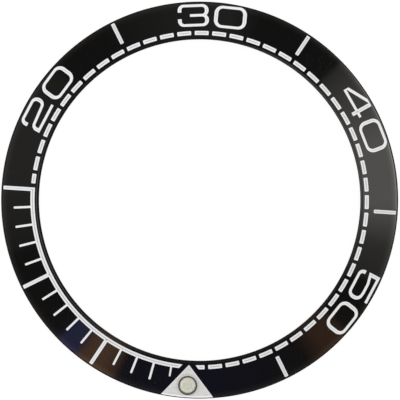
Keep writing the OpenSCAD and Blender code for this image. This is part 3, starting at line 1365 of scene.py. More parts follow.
@dataclass
class MinuteTrack:
    """The track next to the bore, broken into minute dashes after the fifteenth minute."""

    blank: RingBlank
    inset: float = 0.37
    width: float = 0.43
    dash_gap: float = 0.31
    scale_gap: float = 0.36
    corner: float = 0.05

    @property
    def r0(self) -> float:
        """Radius of its inner side."""
        return self.blank.bore_r + self.inset

    @property
    def r1(self) -> float:
        """Radius of its outer side."""
        return self.r0 + self.width

    @property
    def middle_r(self) -> float:
        """Radius of its middle."""
        return (self.r0 + self.r1) / 2

    def degrees(self, length: float) -> float:
        """The angle that a length takes along the track's middle."""
        return math.degrees(length / self.middle_r)

    @property
    def half_gap(self) -> float:
        """Half the angle between two dashes."""
        return self.degrees(self.dash_gap) / 2

    def dash(self, start_deg: float, end_deg: float) -> Loop:
        """A dash between two angles, with small bends at its corners.

        Args:
            start_deg: Where it starts, clockwise from the zero mark.
            end_deg: Where it ends.

        Returns:
            The dash's outline.
        """
        runs = [arc(self.r1, start_deg, end_deg), arc(self.r0, end_deg, start_deg)]
        return rounded([
            (p.x, p.y, self.corner if i in (0, len(run) - 1) else 0.0) for run in runs for i, p in enumerate(run)
        ][::-1])

    def plain_dash(self) -> Loop:
        """The dash that repeats, in the middle of the first minute."""
        return self.dash(self.half_gap, MINUTE_DEG - self.half_gap)

    def first_dash(self, mark_w: float) -> Loop:
        """The dash beside the fifteen-minute mark, which starts a little later."""
        start = MINUTE_DEG * SCALE_MINUTES
        return self.dash(start + self.degrees(self.scale_gap + mark_w / 2), start + MINUTE_DEG - self.half_gap)

    def last_dash(self, border: Loop) -> Loop:
        """The dash beside the zero triangle, cut along the triangle's border."""
        start = MINUTE_DEG * (MINUTES - 1)
        return combine([self.dash(start + self.half_gap, start + MINUTE_DEG - self.half_gap)], [border])[0]


@dataclass
class FiveMinuteMarks:
    """The marks that stand alone between the numerals."""

    blank: RingBlank
    track: MinuteTrack
    width: float = 0.39
    edge_gap: float = 0.05
    track_gap: float = 0.47
    corner: float = 0.08
    minutes: tuple[int, ...] = (25, 35, 45, 55)

    @property
    def r1(self) -> float:
        """Radius of the outer end."""
        return self.blank.face_r - self.edge_gap

    def loop(self, r0: float | None = None) -> Loop:
        """A mark at the zero minute, from a radius or from its place beyond the track."""
        start = self.track.r1 + self.track_gap if r0 is None else r0
        return box(self.width, self.r1 - start, self.corner, (self.r1 + start) / 2)


@dataclass
class ElapsedScale:
    """The first fifteen minutes: an unbroken track with a mark at each minute, all in one comb."""

    track: MinuteTrack
    marks: FiveMinuteMarks
    tick_w: float = 0.25
    tick_l: float = 1.62
    first_tick_w: float = 0.21
    first_tick_l: float = 0.91
    bend_room: float = 0.01
    cut_step_deg: float = 0.5

    def loops(self, border: Loop) -> list[Loop]:
        """The comb's outline.

        Args:
            border: The zero triangle with its black border, which cuts the comb's first end.

        Returns:
            The loops.
        """
        track, corner = self.track, self.marks.corner
        span = MINUTE_DEG * SCALE_MINUTES
        inner_r = track.r0 - self.marks.width
        adds = [arc(track.r1, 0.0, span) + arc(inner_r, span, 0.0)]
        for minute in range(1, SCALE_MINUTES + 1):
            if minute % GROUP_MINUTES == 0:
                bar = self.marks.loop(inner_r)
            else:
                wide, far = (self.first_tick_w, self.first_tick_l) if minute == 1 else (self.tick_w, self.tick_l)
                start, end = track.middle_r, track.r1 + far
                bar = box(wide, end - start, min(corner, wide / 2 - self.bend_room), (start + end) / 2)
            adds.append([turned(p, MINUTE_DEG * minute) for p in bar])
        return combine(adds, [circle(track.r0, self.cut_step_deg), border])


class Figure(Enum):
    """The figures on the ring, by the words in their pieces' names."""

    ZERO = "zero"
    TWO = "two"
    THREE = "three"
    FOUR = "four"
    FIVE = "five"


@dataclass(frozen=True)
class Digit:
    """One digit: its numeral, figure, side of the minute (-1 first), lean in degrees, shift outwards and clockwise."""

    numeral: int
    figure: Figure
    side: int
    lean: float = 0.0
    lift: float = 0.0
    slide: float = 0.0

    @property
    def node(self) -> str:
        """The CAD node that it stands for."""
        return f"numeral_{self.numeral}_{self.figure.value}"


@dataclass
class Numerals:
    """The numerals 20, 30, 40 and 50, in strokes with thick uprights and thin bars."""

    blank: RingBlank
    track: MinuteTrack
    wide_w: float = 3.15
    narrow_w: float = 3.0
    pitch: float = 3.64
    track_gap: float = 0.42
    edge_gap: float = 0.1
    stem_w: float = 0.4
    bar_w: float = 0.29
    zero_bend: float = 0.6
    bowl_bend: float = 0.62
    hook_bend: float = 0.4
    bend_room: float = 0.01
    corner: float = 0.08
    digits: tuple[Digit, ...] = (
        Digit(20, Figure.TWO, -1, 0.0, -0.07), Digit(20, Figure.ZERO, 1, 3.0, -0.08),
        Digit(30, Figure.THREE, -1, 0.0, -0.03, 0.06), Digit(30, Figure.ZERO, 1, 4.0),
        Digit(40, Figure.FOUR, -1, -2.5), Digit(40, Figure.ZERO, 1, 1.0),
        Digit(50, Figure.FIVE, -1), Digit(50, Figure.ZERO, 1, 1.0),
    )

    @property
    def height(self) -> float:
        """Height of a digit."""
        return self.blank.face_r - self.edge_gap - self.track.r1 - self.track_gap

    @property
    def middle_r(self) -> float:
        """Radius of the digits' centres."""
        return self.track.r1 + self.track_gap + self.height / 2

    def fit_bend(self, radius: float, room: float) -> float:
        """The bend nearest to a radius that a stroke's room allows."""
        return min(radius, room - (self.stem_w - self.bar_w) / 4 - self.bend_room)

    def stroke(self, path: Sequence[Triple]) -> Loop:
        """The outline of a pen stroke.

        Args:
            path: The corners of its middle line, each x, y and the radius of its bend.

        Returns:
            The outline.
        """
        flat = [Vector(p[:2]) for p in path]
        headings = [(b - a).normalized() for a, b in zip(flat, flat[1:])]
        reach = [math.hypot(self.stem_w * d.y, self.bar_w * d.x) / 2 for d in headings]
        sides: list[Loop] = []
        for side in (1, -1):
            aside = [left_of(d) * side * reach[i] for i, d in enumerate(headings)]
            points = [flat[0] + aside[0]]
            for i in range(1, len(flat) - 1):
                before, after = headings[i - 1], headings[i]
                start, other = flat[i] + aside[i - 1], flat[i] + aside[i]
                edge = start + before * (other - start).cross(after) / before.cross(after)
                turn = math.copysign(1.0, before.cross(after))
                radius = path[i][2] - side * turn * (reach[i - 1] + reach[i]) / 2
                points += bend(edge, before, after, max(radius, self.corner) if path[i][2] > 0 else 0.0)
            sides.append([*points, flat[-1] + aside[-1]])
        return sides[0] + sides[1][::-1]

    def zero(self) -> list[Loop]:
        """A round-cornered frame.

        Returns:
            Its outlines.
        """
        half_pen = (self.stem_w + self.bar_w) / 4
        frame_in = box(self.wide_w - 2 * self.stem_w, self.height - 2 * self.bar_w, self.zero_bend - half_pen)
        return combine([box(self.wide_w, self.height, self.zero_bend + half_pen)], [frame_in])

    def two(self) -> list[Loop]:
        """One stroke: hook, bowl, a waist that falls slowly to the left, and foot.

        Returns:
            Its outlines.
        """
        x, y = (self.narrow_w - self.stem_w) / 2, (self.height - self.bar_w) / 2
        tip, waist, waist_end = 0.3 * y, -0.08 * y, -0.28 * y
        bowl = self.fit_bend(self.bowl_bend, (y - waist) / 2)
        return combine([self.stroke([
            (-x, tip, 0), (-x, y, self.hook_bend), (x, y, bowl), (x, waist, bowl),
            (-x, waist_end, self.fit_bend(self.hook_bend, (y + waist_end) / 1.2)), (-x, -y, 0),
            (self.narrow_w / 2, -y, 0),
        ])])

    def three(self) -> list[Loop]:
        """Two hooks that meet at the waist.

        Returns:
            Its outlines.
        """
        x, y = (self.narrow_w - self.stem_w) / 2, (self.height - self.bar_w) / 2
        tip, bowl = 0.32 * y, self.fit_bend(self.bowl_bend, y / 2)
        return combine([
            self.stroke([(-x, tip, 0), (-x, y, self.hook_bend), (x, y, bowl), (x, 0, bowl), (-0.26 * x, 0, 0)]),
            self.stroke([(-x, -tip, 0), (-x, -y, self.hook_bend), (x, -y, bowl), (x, 0, bowl), (0, 0, 0)]),
        ])

    def four(self) -> list[Loop]:
        """A bar, an upright, and the diagonal between them, which is cut off level with both.

        Returns:
            Its outlines.
        """
        x, y = self.wide_w / 2, self.height / 2
        stem_x, bar_y = 0.57 * x, -0.37 * y
        strokes = [
            self.stroke([(-x, bar_y, 0), (0.97 * x, bar_y, 0)]),
            self.stroke([(stem_x, -0.9 * y, 0), (stem_x, y, 0)]),
            self.stroke([(-1.2 * x, -0.31 * y, 0), (stem_x, 1.13 * y, 0)]),
        ]
        far = 3 * x
        around = [
            [(-far, -far), (-x, -far), (-x, far), (-far, far)],
            [(-far, -far), (far, -far), (far, bar_y), (-far, bar_y)],
            [(-far, y), (far, y), (far, far), (-far, far)],
            [(stem_x, -far), (far, -far), (far, far), (stem_x, far)],
        ]
        diagonal = combine([strokes[2]], [[Vector(p) for p in block] for block in around])
        return combine([*strokes[:2], *diagonal])

    def five(self) -> list[Loop]:
        """One stroke: flag, upright, an arched bowl and hook.

        Returns:
            Its outlines.
        """
        x, y = (self.narrow_w - self.stem_w) / 2, (self.height - self.bar_w) / 2
        rise, crown, shoulder, tip = 0.1 * y, 0.31 * y, 0.2 * y, -0.42 * y
        bowl, arch = self.fit_bend(self.bowl_bend, (shoulder + y) / 2), 3 * self.hook_bend
        return combine([self.stroke([
            (1.03 * x, y, 0), (-x, y, 0), (-x, rise, 0), (-0.3 * x, crown, arch), (0.4 * x, crown, arch),
            (x, shoulder, bowl), (x, -y, bowl), (-x, -y, self.fit_bend(self.hook_bend, tip + y)), (-x, tip, 0),
        ])])

    def loops(self, digit: Digit) -> list[Loop]:
        """A digit's outline where it stands on the ring.

        Args:
            digit: Which digit, and where it stands.

        Returns:
            Its outlines.
        """
        lean = math.radians(digit.lean)
        turn = MINUTE_DEG * digit.numeral + digit.side * math.degrees(math.atan(self.pitch / 2 / self.middle_r))
        shape: list[Loop] = getattr(self, digit.figure.value)()
        centre = Vector((digit.slide, self.middle_r + digit.lift))
        return [[turned(Matrix.Rotation(lean, 2) @ p + centre, turn) for p in loop] for loop in shape]


@dataclass
class ZeroTriangle:
    """The triangle at the zero mark, whose base runs out over the rim."""

    SPAN_DEG: ClassVar[float] = 12.0
    STEP_DEG: ClassVar[float] = 0.25
    HOLE_STEP_DEG: ClassVar[float] = 5.0

    blank: RingBlank
    track: MinuteTrack
    width: float = 5.16
    border: float = 0.45

    def lines(self, grow: float) -> Pair:
        """The apex's distance from the axis and half its angle, with the triangle widened all round.

        Args:
            grow: How far each side moves outwards.

        Returns:
            The distance, and the half angle in radians.
        """
        half = self.width / 2
        half_angle = math.atan(half / (math.sqrt(self.blank.outer_r**2 - half**2) - self.track.r0))
        return self.track.r0 - grow / math.sin(half_angle), half_angle

    def meets(self, radius: float, grow: float) -> float:
        """The angle, in degrees from the zero mark, at which the widened triangle's side meets a circle.

        Args:
            radius: The circle's radius.
            grow: How far each side moves out.

        Returns:
            The angle.
        """
        apex, half_angle = self.lines(grow)
        t2 = math.tan(half_angle) ** 2
        y = (t2 * apex + math.sqrt(t2**2 * apex**2 - (t2 + 1) * (t2 * apex**2 - radius**2))) / (t2 + 1)
        return math.degrees(math.atan2((y - apex) * math.tan(half_angle), y))

    def sector(self, radius: float, grow: float, angles: Sequence[float]) -> Loop:
        """The widened triangle out to a circle, with a vertex at each of the angles between its sides.

        Args:
            radius: The circle's radius.
            grow: How far each side moves out.
            angles: The angles, in degrees from the zero mark.

        Returns:
            The outline.
        """
        end = self.meets(radius, grow)
        between = sorted(a for a in angles if abs(a) < end - MERGED)
        return [Vector((0.0, self.lines(grow)[0])), *(on_ring(radius, a) for a in [end, *between[::-1], -end])]

    def beyond(self, grow: float) -> Loop:
        """The widened triangle, out past the rim.

        Args:
            grow: How far each side moves out.

        Returns:
            The outline.
        """
        apex, half_angle = self.lines(grow)
        far = self.blank.outer_r + 1
        x = (far - apex) * math.tan(half_angle)
        return [Vector((0.0, apex)), Vector((x, far)), Vector((-x, far))]

    def loops(self, hole_r: float, centre_y: float) -> list[Loop]:
        """The lacquer's outline, with the hole for the pearl.

        Args:
            hole_r: The hole's radius.
            centre_y: Its centre's distance from the axis.

        Returns:
            The outline and the hole.
        """
        radius = self.blank.outer_r - self.blank.inlay_sink
        steps = round(2 * self.SPAN_DEG / self.STEP_DEG)
        even = [-self.SPAN_DEG + self.STEP_DEG * k for k in range(steps + 1)]
        hole = [Vector((0.0, centre_y)) + p for p in circle(hole_r, self.HOLE_STEP_DEG)]
        return combine([self.sector(radius, 0.0, even)], [hole])

    def crease(self) -> Loop:
        """A sector of the ring, whose arc is where the lacquer turns down over the rim's bevel."""
        return [Vector((0.0, 0.0)), *arc(self.blank.lid_bevel_r, self.SPAN_DEG, -self.SPAN_DEG, self.STEP_DEG)]


@dataclass
class Pearl:
    """The luminous pearl: a steel cup in a blind hole, a pellet of luminous paint, and a clear lens on it."""

    blank: RingBlank
    diameter: float = 1.78
    edge_gap: float = 0.22
    depth: float = 0.6
    wall: float = 0.115
    pellet_t: float = 0.25
    bulge: float = 0.07
    hole_margin: float = 0.015
    cup_soft: float = 0.03
    lens_soft: float = 0.02
    steps: int = 96
    lip_rows: int = 4
    lens_rows: int = 14

    @property
    def centre_r(self) -> float:
        """The pearl's distance from the ring's axis."""
        return self.blank.face_r - self.edge_gap - self.diameter / 2

    @property
    def lens_r(self) -> float:
        """Radius of the lens and the pellet."""
        return self.diameter / 2 - self.wall - self.blank.inlay_clearance

    def frame(self) -> Matrix:
        """The pearl's own frame, square to the face, with its origin on the hole's floor.

        Returns:
            The frame.
        """
        at = Matrix.Translation((0.0, self.centre_r, self.blank.face_z(self.centre_r)))
        tilt = Matrix.Rotation(math.radians(-self.blank.slope_deg), 4, "X")
        return at @ tilt @ Matrix.Translation((0, 0, -self.depth))

    def place(self, point: Vector) -> Vector:
        """A point of the pearl's frame in the ring's."""
        return self.frame() @ point

    def hole_loop(self) -> Loop:
        """The hole's edge where it breaks through the recess floor, seen from above.

        Returns:
            The loop.
        """
        radius = self.diameter / 2 + self.blank.inlay_clearance
        height = self.depth - self.blank.recess_depth
        turns = [2 * math.pi * k / self.steps for k in range(self.steps)]
        return [self.place(Vector((radius * math.cos(a), radius * math.sin(a), height))).xy for a in turns]

    def under(self, point: Vector) -> Vector:
        """The point of the hole's floor straight below, along the pearl's axis."""
        local = self.frame().inverted() @ point
        return self.place(Vector((local.x, local.y, 0.0)))

    def cup(self) -> Piece:
        """The steel cup, with a rounded lip.

        Returns:
            The object.
        """
        outer, inner, top, soft = self.diameter / 2, self.diameter / 2 - self.wall, self.depth, self.cup_soft
        turns = [math.pi / 2 * k / self.lip_rows for k in range(self.lip_rows + 1)]
        profile = [(0.0, self.wall), (inner - soft, self.wall), (inner, self.wall + soft)]
        profile += [(inner + soft * (1 - math.cos(a)), top - soft * (1 - math.sin(a))) for a in turns]
        profile += [(outer - soft * (1 - math.sin(a)), top - soft * (1 - math.cos(a))) for a in turns]
        profile += [(outer, soft), (outer - soft, 0.0), (0.0, 0.0)]
        shell = Shell()
        shell.spin(profile, self.steps, self.place, closed=False)
        return shell.build("pearl_cup_turned", [TurnedSteel("turned_steel", centre_mm=(0.0, self.centre_r))])

    def lens(self) -> Piece:
        """The clear lens, flat below and domed above.

        Returns:
            The object.
        """
        low, soft = self.wall + self.pellet_t, self.lens_soft
        crown_r = (self.lens_r**2 + self.bulge**2) / (2 * self.bulge)
        centre = self.depth + self.bulge - crown_r
        profile = [(0.0, self.depth + self.bulge)]
        for k in range(1, self.lens_rows + 1):
            r = (self.lens_r - soft) * math.sin(math.pi / 2 * k / self.lens_rows)
            profile.append((r, centre + math.sqrt(crown_r**2 - r**2)))
        edge = profile[-1][1]
        profile += [(self.lens_r - soft * 0.3, edge - soft * 0.3), (self.lens_r, edge - soft)]
        profile += [(self.lens_r, low + soft), (self.lens_r - soft, low), (0.0, low)]
        shell = Shell()
        shell.spin(profile, self.steps, self.place, closed=False)
        return shell.build("pearl_lens_domed", [LensPlastic("lens_plastic")])


# What repeats, in geometry nodes

def bake(piece: Piece) -> Piece:
    """Turns a piece's modifiers into its mesh.

    Args:
        piece: The object, with its modifiers.

    Returns:
        The same object, whose mesh they have shaped.
    """
    depsgraph = bpy.context.evaluated_depsgraph_get()
    evaluated = piece.evaluated_get(depsgraph)
    mesh = bpy.data.meshes.new_from_object(evaluated, preserve_all_data_layers=True, depsgraph=depsgraph)
    piece.modifiers.clear()
    old, piece.data = piece.data, mesh
    bpy.data.meshes.remove(old)
    mesh.name = piece.name
    return piece


class NodeModel:
    """A geometry node tree with named inputs."""

    def __init__(self, name: str, inputs: dict[str, str]) -> None:
        """Makes the tree, with a geometry input and the inputs that are asked for.

        Args:
            name: The tree's name.
            inputs: The type of each input, by its name.
        """
        self.tree = bpy.data.node_groups.new(name, "GeometryNodeTree")
        self.graph = Graph(self.tree)
        self.tree.interface.new_socket("Geometry", in_out="INPUT", socket_type="NodeSocketGeometry")
        self.tree.interface.new_socket("Geometry", in_out="OUTPUT", socket_type="NodeSocketGeometry")
        self.identifiers = {
            label: self.tree.interface.new_socket(label, in_out="INPUT", socket_type=kind).identifier
            for label, kind in inputs.items()
        }
        self.given = self.graph.node("NodeGroupInput")

    def finish(self, instances: Signal) -> None:
        """Ends the tree: instances join the geometry that comes in and become real, and all takes the finish.

        Args:
            instances: What joins the geometry.
        """
        joined = self.graph.node("GeometryNodeJoinGeometry", None, {"Geometry": instances})
        self.tree.links.new(self.given.output("Geometry").socket, joined.socket.node.inputs["Geometry"])
        real = self.graph.node("GeometryNodeRealizeInstances", None, {"Geometry": joined})
        sockets = {"Geometry": real, "Material": self.given.output("Finish")}
        dressed = self.graph.node("GeometryNodeSetMaterial", None, sockets)
        self.graph.node("NodeGroupOutput", None, {"Geometry": dressed})

    def apply(self, piece: Piece, values: dict[str, object]) -> Piece:
        """Runs the tree on a piece and keeps the result as its mesh.

        Args:
            piece: The piece, whose own mesh is the tree's geometry.
            values: The value of each named input.

        Returns:
            The piece.
        """
        modifier = piece.modifiers.new(self.tree.name, "NODES")
        modifier.node_group = self.tree
        for label, value in values.items():
            modifier[self.identifiers[label]] = value
        return bake(piece)


class RingPattern(NodeModel):
    """Repeats a mark clockwise round the ring's axis, and adds it to the geometry that comes in."""

    def __init__(self) -> None:
        """Builds the tree."""
        super().__init__("ring_pattern", {
            "Mark": "NodeSocketObject", "Count": "NodeSocketInt", "First angle": "NodeSocketFloat",
            "Step angle": "NodeSocketFloat", "Finish": "NodeSocketMaterial",
        })
        g, given = self.graph, self.given
        mark = g.node("GeometryNodeObjectInfo", None, {"Object": given.output("Mark")}).output("Geometry")
        spots = g.node("GeometryNodeMeshLine", None, {"Count": given.output("Count"), "Offset": (0.0, 0.0, 0.0)})
        number = g.node("GeometryNodeInputIndex")
        angle = given.output("First angle") + number * given.output("Step angle")
        turn = g.node("ShaderNodeCombineXYZ", None, {"Z": -1.0 * angle})
        rotation = g.node("FunctionNodeEulerToRotation", None, {0: turn})
        sockets = {"Points": spots, "Instance": mark, "Rotation": rotation}
        self.finish(g.node("GeometryNodeInstanceOnPoints", None, sockets))


class PigmentGrains(NodeModel):
    """Strews grains of pigment over the upper side of the geometry that comes in."""

    SMALLEST: ClassVar[float] = 0.35
    UPWARD: ClassVar[float] = 0.9

    def __init__(self) -> None:
        """Builds the tree."""
        super().__init__("pigment_grains", {
            "Density": "NodeSocketFloat", "Grain radius": "NodeSocketFloat", "Seed": "NodeSocketInt",
            "Finish": "NodeSocketMaterial",
        })
        g, given = self.graph, self.given
        normal = g.node("ShaderNodeSeparateXYZ", None, {0: g.node("GeometryNodeInputNormal")}).output("Z")
        spots = g.node("GeometryNodeDistributePointsOnFaces", {"distribute_method": "RANDOM"}, {
            "Mesh": given.output("Geometry"), "Selection": normal > self.UPWARD, "Density": given.output("Density"),
            "Seed": given.output("Seed"),
        })
        grain = g.node("GeometryNodeMeshIcoSphere", None, {"Radius": given.output("Grain radius"), "Subdivisions": 1})
        size = g.node("FunctionNodeRandomValue", {"data_type": "FLOAT"}, {
            2: self.SMALLEST, 3: 1.0, "Seed": given.output("Seed"),
        })
        sockets = {"Points": spots, "Instance": grain, "Scale": size.output(1)}
        self.finish(g.node("GeometryNodeInstanceOnPoints", None, sockets))


@dataclass
class LumePellet:
    """The pellet of luminous paint under the lens."""

    pearl: Pearl
    soft: float = 0.03
    rows: int = 8
    grain_r: float = 0.022
    grains: int = 700
    seed: int = 7

    def build(self) -> Piece:
        """A slightly uneven disc with its grains of pigment.

        Returns:
            The object.
        """
        pearl, soft = self.pearl, self.soft
        radius, low = pearl.lens_r, pearl.wall
        high = low + pearl.pellet_t - self.grain_r
        profile = [(0.0, high)] + [(radius * k / self.rows, high) for k in range(1, self.rows)]
        profile += [(radius - soft, high), (radius, high - soft)]
        profile += [(radius, low + soft), (radius - soft, low), (0.0, low)]
        shell = Shell()
        shell.spin(profile, pearl.steps, pearl.place, closed=False)
        finish = LumePaint("luminous_paint", centre_r=pearl.centre_r)
        piece = shell.build("lume_pellet_grained", [finish])
        area = math.pi * (radius * MM) ** 2
        return PigmentGrains().apply(piece, {
            "Density": self.grains / area, "Grain radius": self.grain_r * MM, "Seed": self.seed,
            "Finish": finish.material(),
        })


@dataclass
class AdhesiveRing:
    """The die-cut film on the back, its edges a little rounded and its carrier showing as a line."""

    blank: RingBlank
    inset: float = 0.4
    soft: float = 0.015
    groove: float = 0.008

    def build(self) -> Piece:
        """The film.

        Returns:
            The object.
        """
        b, s = self.blank, self.soft
        r1, r0, t = b.outer_r - self.inset, b.bore_r + self.inset, b.adhesive_t
        half = [(t - s, 0.0), (t * 0.55, 0.0), (t * 0.5, self.groove), (t * 0.45, 0.0), (s, 0.0)]
        profile = [(r1 - s, t), *((r1 - cut, z) for z, cut in half), (r1 - s, 0.0)]
        profile += [(r0 + s, 0.0), *((r0 + cut, z) for z, cut in half[::-1]), (r0 + s, t)]
        shell = Shell()
        shell.spin(profile, 360)
        return shell.build("adhesive_film", [AdhesiveFilm("adhesive_film")])


# The studio

def shown(red: float, green: float, blue: float) -> Colour:
    """The light that a display value from 0 to 255 stands for."""
    return tuple((c / 255 / 12.92) if c < 11 else ((c / 255 + 0.055) / 1.055) ** 2.4 for c in (red, green, blue))


class Tint(Enum):
    """The colours of the room's stretches, as shares of their tone."""

    GREY = (1.0, 0.985, 0.955)
    WARM = (1.0, 0.73, 0.56)
    BLUE = (0.58, 0.62, 1.0)


@dataclass(frozen=True)
class Stretch:
    """A lighter stretch of the room.

    Its azimuths run clockwise from the zero mark, in degrees: its start, its brightest part and its end. Its tones
    are what the black ceramic shows of it there, from 0 to 255.
    """

    start: float
    brightest: Pair
    end: float
    tones: Triple
    tint: Tint = Tint.GREY
    edge: float = 0.8

    def azimuths(self) -> list[float]:
        """Where its tone changes slope."""
        return [self.start - self.edge, self.start, *self.brightest, self.end, self.end + self.edge]

    def shows(self, azimuth: float) -> np.ndarray:
        """What the ceramic shows of it at an azimuth, which is black beside it.

        Args:
            azimuth: The azimuth, in degrees.

        Returns:
            Red, green and blue.
        """
        first, middle, last = self.tones
        tones = np.interp([azimuth, azimuth + 360], self.azimuths(), [0, first, middle, middle, last, 0])
        return tones.max() * np.array(self.tint.value)


@dataclass(frozen=True)
class Room:
    """The dim room that shows only in glossy surfaces: its ceiling in the ceramic's face, its walls in the bevel.

    Away from straight up, the ceiling gets lighter as it rises, turns into the plain gallery between the angles of its
    edge, and the gallery turns into the walls between those of the skirting. All these angles are in degrees.
    """

    mirror: float = 0.1335
    own: Colour = PolishedCeramic.colour
    sector: float = 120.0
    dark: float = 17.0
    ceiling: tuple[Stretch, ...] = (
        Stretch(22.4, (28.0, 31.0), 34.6, (50, 66, 58), Tint.WARM),
        Stretch(35.4, (37.0, 41.0), 41.6, (52, 55, 56), Tint.BLUE),
        Stretch(71.4, (90.0, 112.0), 128.6, (26, 35, 26)),
        Stretch(148.0, (174.0, 186.0), 194.0, (19, 31, 20)),
        Stretch(222.4, (249.0, 267.0), 281.0, (40, 79, 42)),
        Stretch(280.0, (281.0, 283.0), 291.0, (42, 41, 35)),
        Stretch(308.4, (309.0, 316.0), 321.0, (44, 45, 28), Tint.WARM),
        Stretch(326.0, (352.0, 376.0), 381.6, (18, 25, 24), Tint.BLUE),
    )
    walls: tuple[Stretch, ...] = (
        Stretch(1.0, (62.0, 82.0), 114.0, (27, 68, 27)),
        Stretch(118.0, (131.0, 135.0), 148.0, (27, 38, 30)),
        Stretch(190.0, (205.0, 209.0), 224.0, (27, 42, 27)),
    )
    wall_dark: float = 26.0
    rising: Pair = (12.4, 40.0)
    rise: Colour = (0.0095, 0.006, 0.0042)
    gain: float = 0.12
    edge: Pair = (16.0, 36.0)
    gallery: Colour = (0.1, 0.1, 0.1)
    skirting: Pair = (78.0, 84.0)

    def light(self, view: Sequence[float]) -> Colour:
        """The light of the room that makes the ceramic show a colour."""
        return tuple(max(0.0, (c - own) / self.mirror) for c, own in zip(shown(*view), self.own))

    def ring(self, graph: Graph, azimuth: Signal, stretches: Sequence[Stretch], dark: float) -> Signal:
        """The room's colours all the way round, in ramps of one sector each.

        Args:
            graph: The world's tree.
            azimuth: The azimuth, from 0 to 360.
            stretches: The room's lighter stretches.
            dark: The tone of what is between them.

        Returns:
            The colour.
        """
        behind = dark * np.array(Tint.GREY.value)
        bends = sorted({a % 360 for stretch in stretches for a in stretch.azimuths()})
        ramps: list[Signal] = []
        starts = np.arange(0.0, 360.0, self.sector).tolist()
        for start in starts:
            end = start + self.sector
            stops = [
                ((a - start) / self.sector, self.light(np.max([behind, *(s.shows(a) for s in stretches)], axis=0)))
                for a in [start, *(a for a in bends if start < a < end), end]
            ]
            share = (azimuth - start) * (1 / self.sector)
            ramps.append(graph.node("ShaderNodeValToRGB", {"stops": stops}, {0: share}))
        colour = ramps[0]
        for start, ramp in zip(starts[1:], ramps[1:]):
            colour = graph.blend(azimuth > start, colour, ramp)
        return colour

    def paint(self, graph: Graph, azimuth: Signal, polar: Signal) -> Signal:
        """The room's light in a direction.

        Args:
            graph: The world's tree.
            azimuth: The direction's azimuth, in degrees.
            polar: Its angle from straight up, in degrees.

        Returns:
            The light's colour.
        """
        above = polar - self.rising[0]
        climb = graph.node("ShaderNodeMath", {"operation": "MAXIMUM"}, {0: above, 1: 0.0})
        ceiling = self.ring(graph, azimuth, self.ceiling, self.dark)
        scale = {"operation": "SCALE"}
        gained = graph.node("ShaderNodeVectorMath", scale, {0: ceiling, "Scale": 1 + self.gain * climb})
        raised = graph.node("ShaderNodeVectorMath", scale, {0: self.rise, "Scale": climb})
        lit = graph.vector("ADD", gained, raised)
        walls = self.ring(graph, azimuth, self.walls, self.wall_dark)
        lit = graph.blend(graph.ease(polar, *self.edge), lit, self.gallery)
        return graph.blend(graph.ease(polar, *self.skirting), lit, walls)


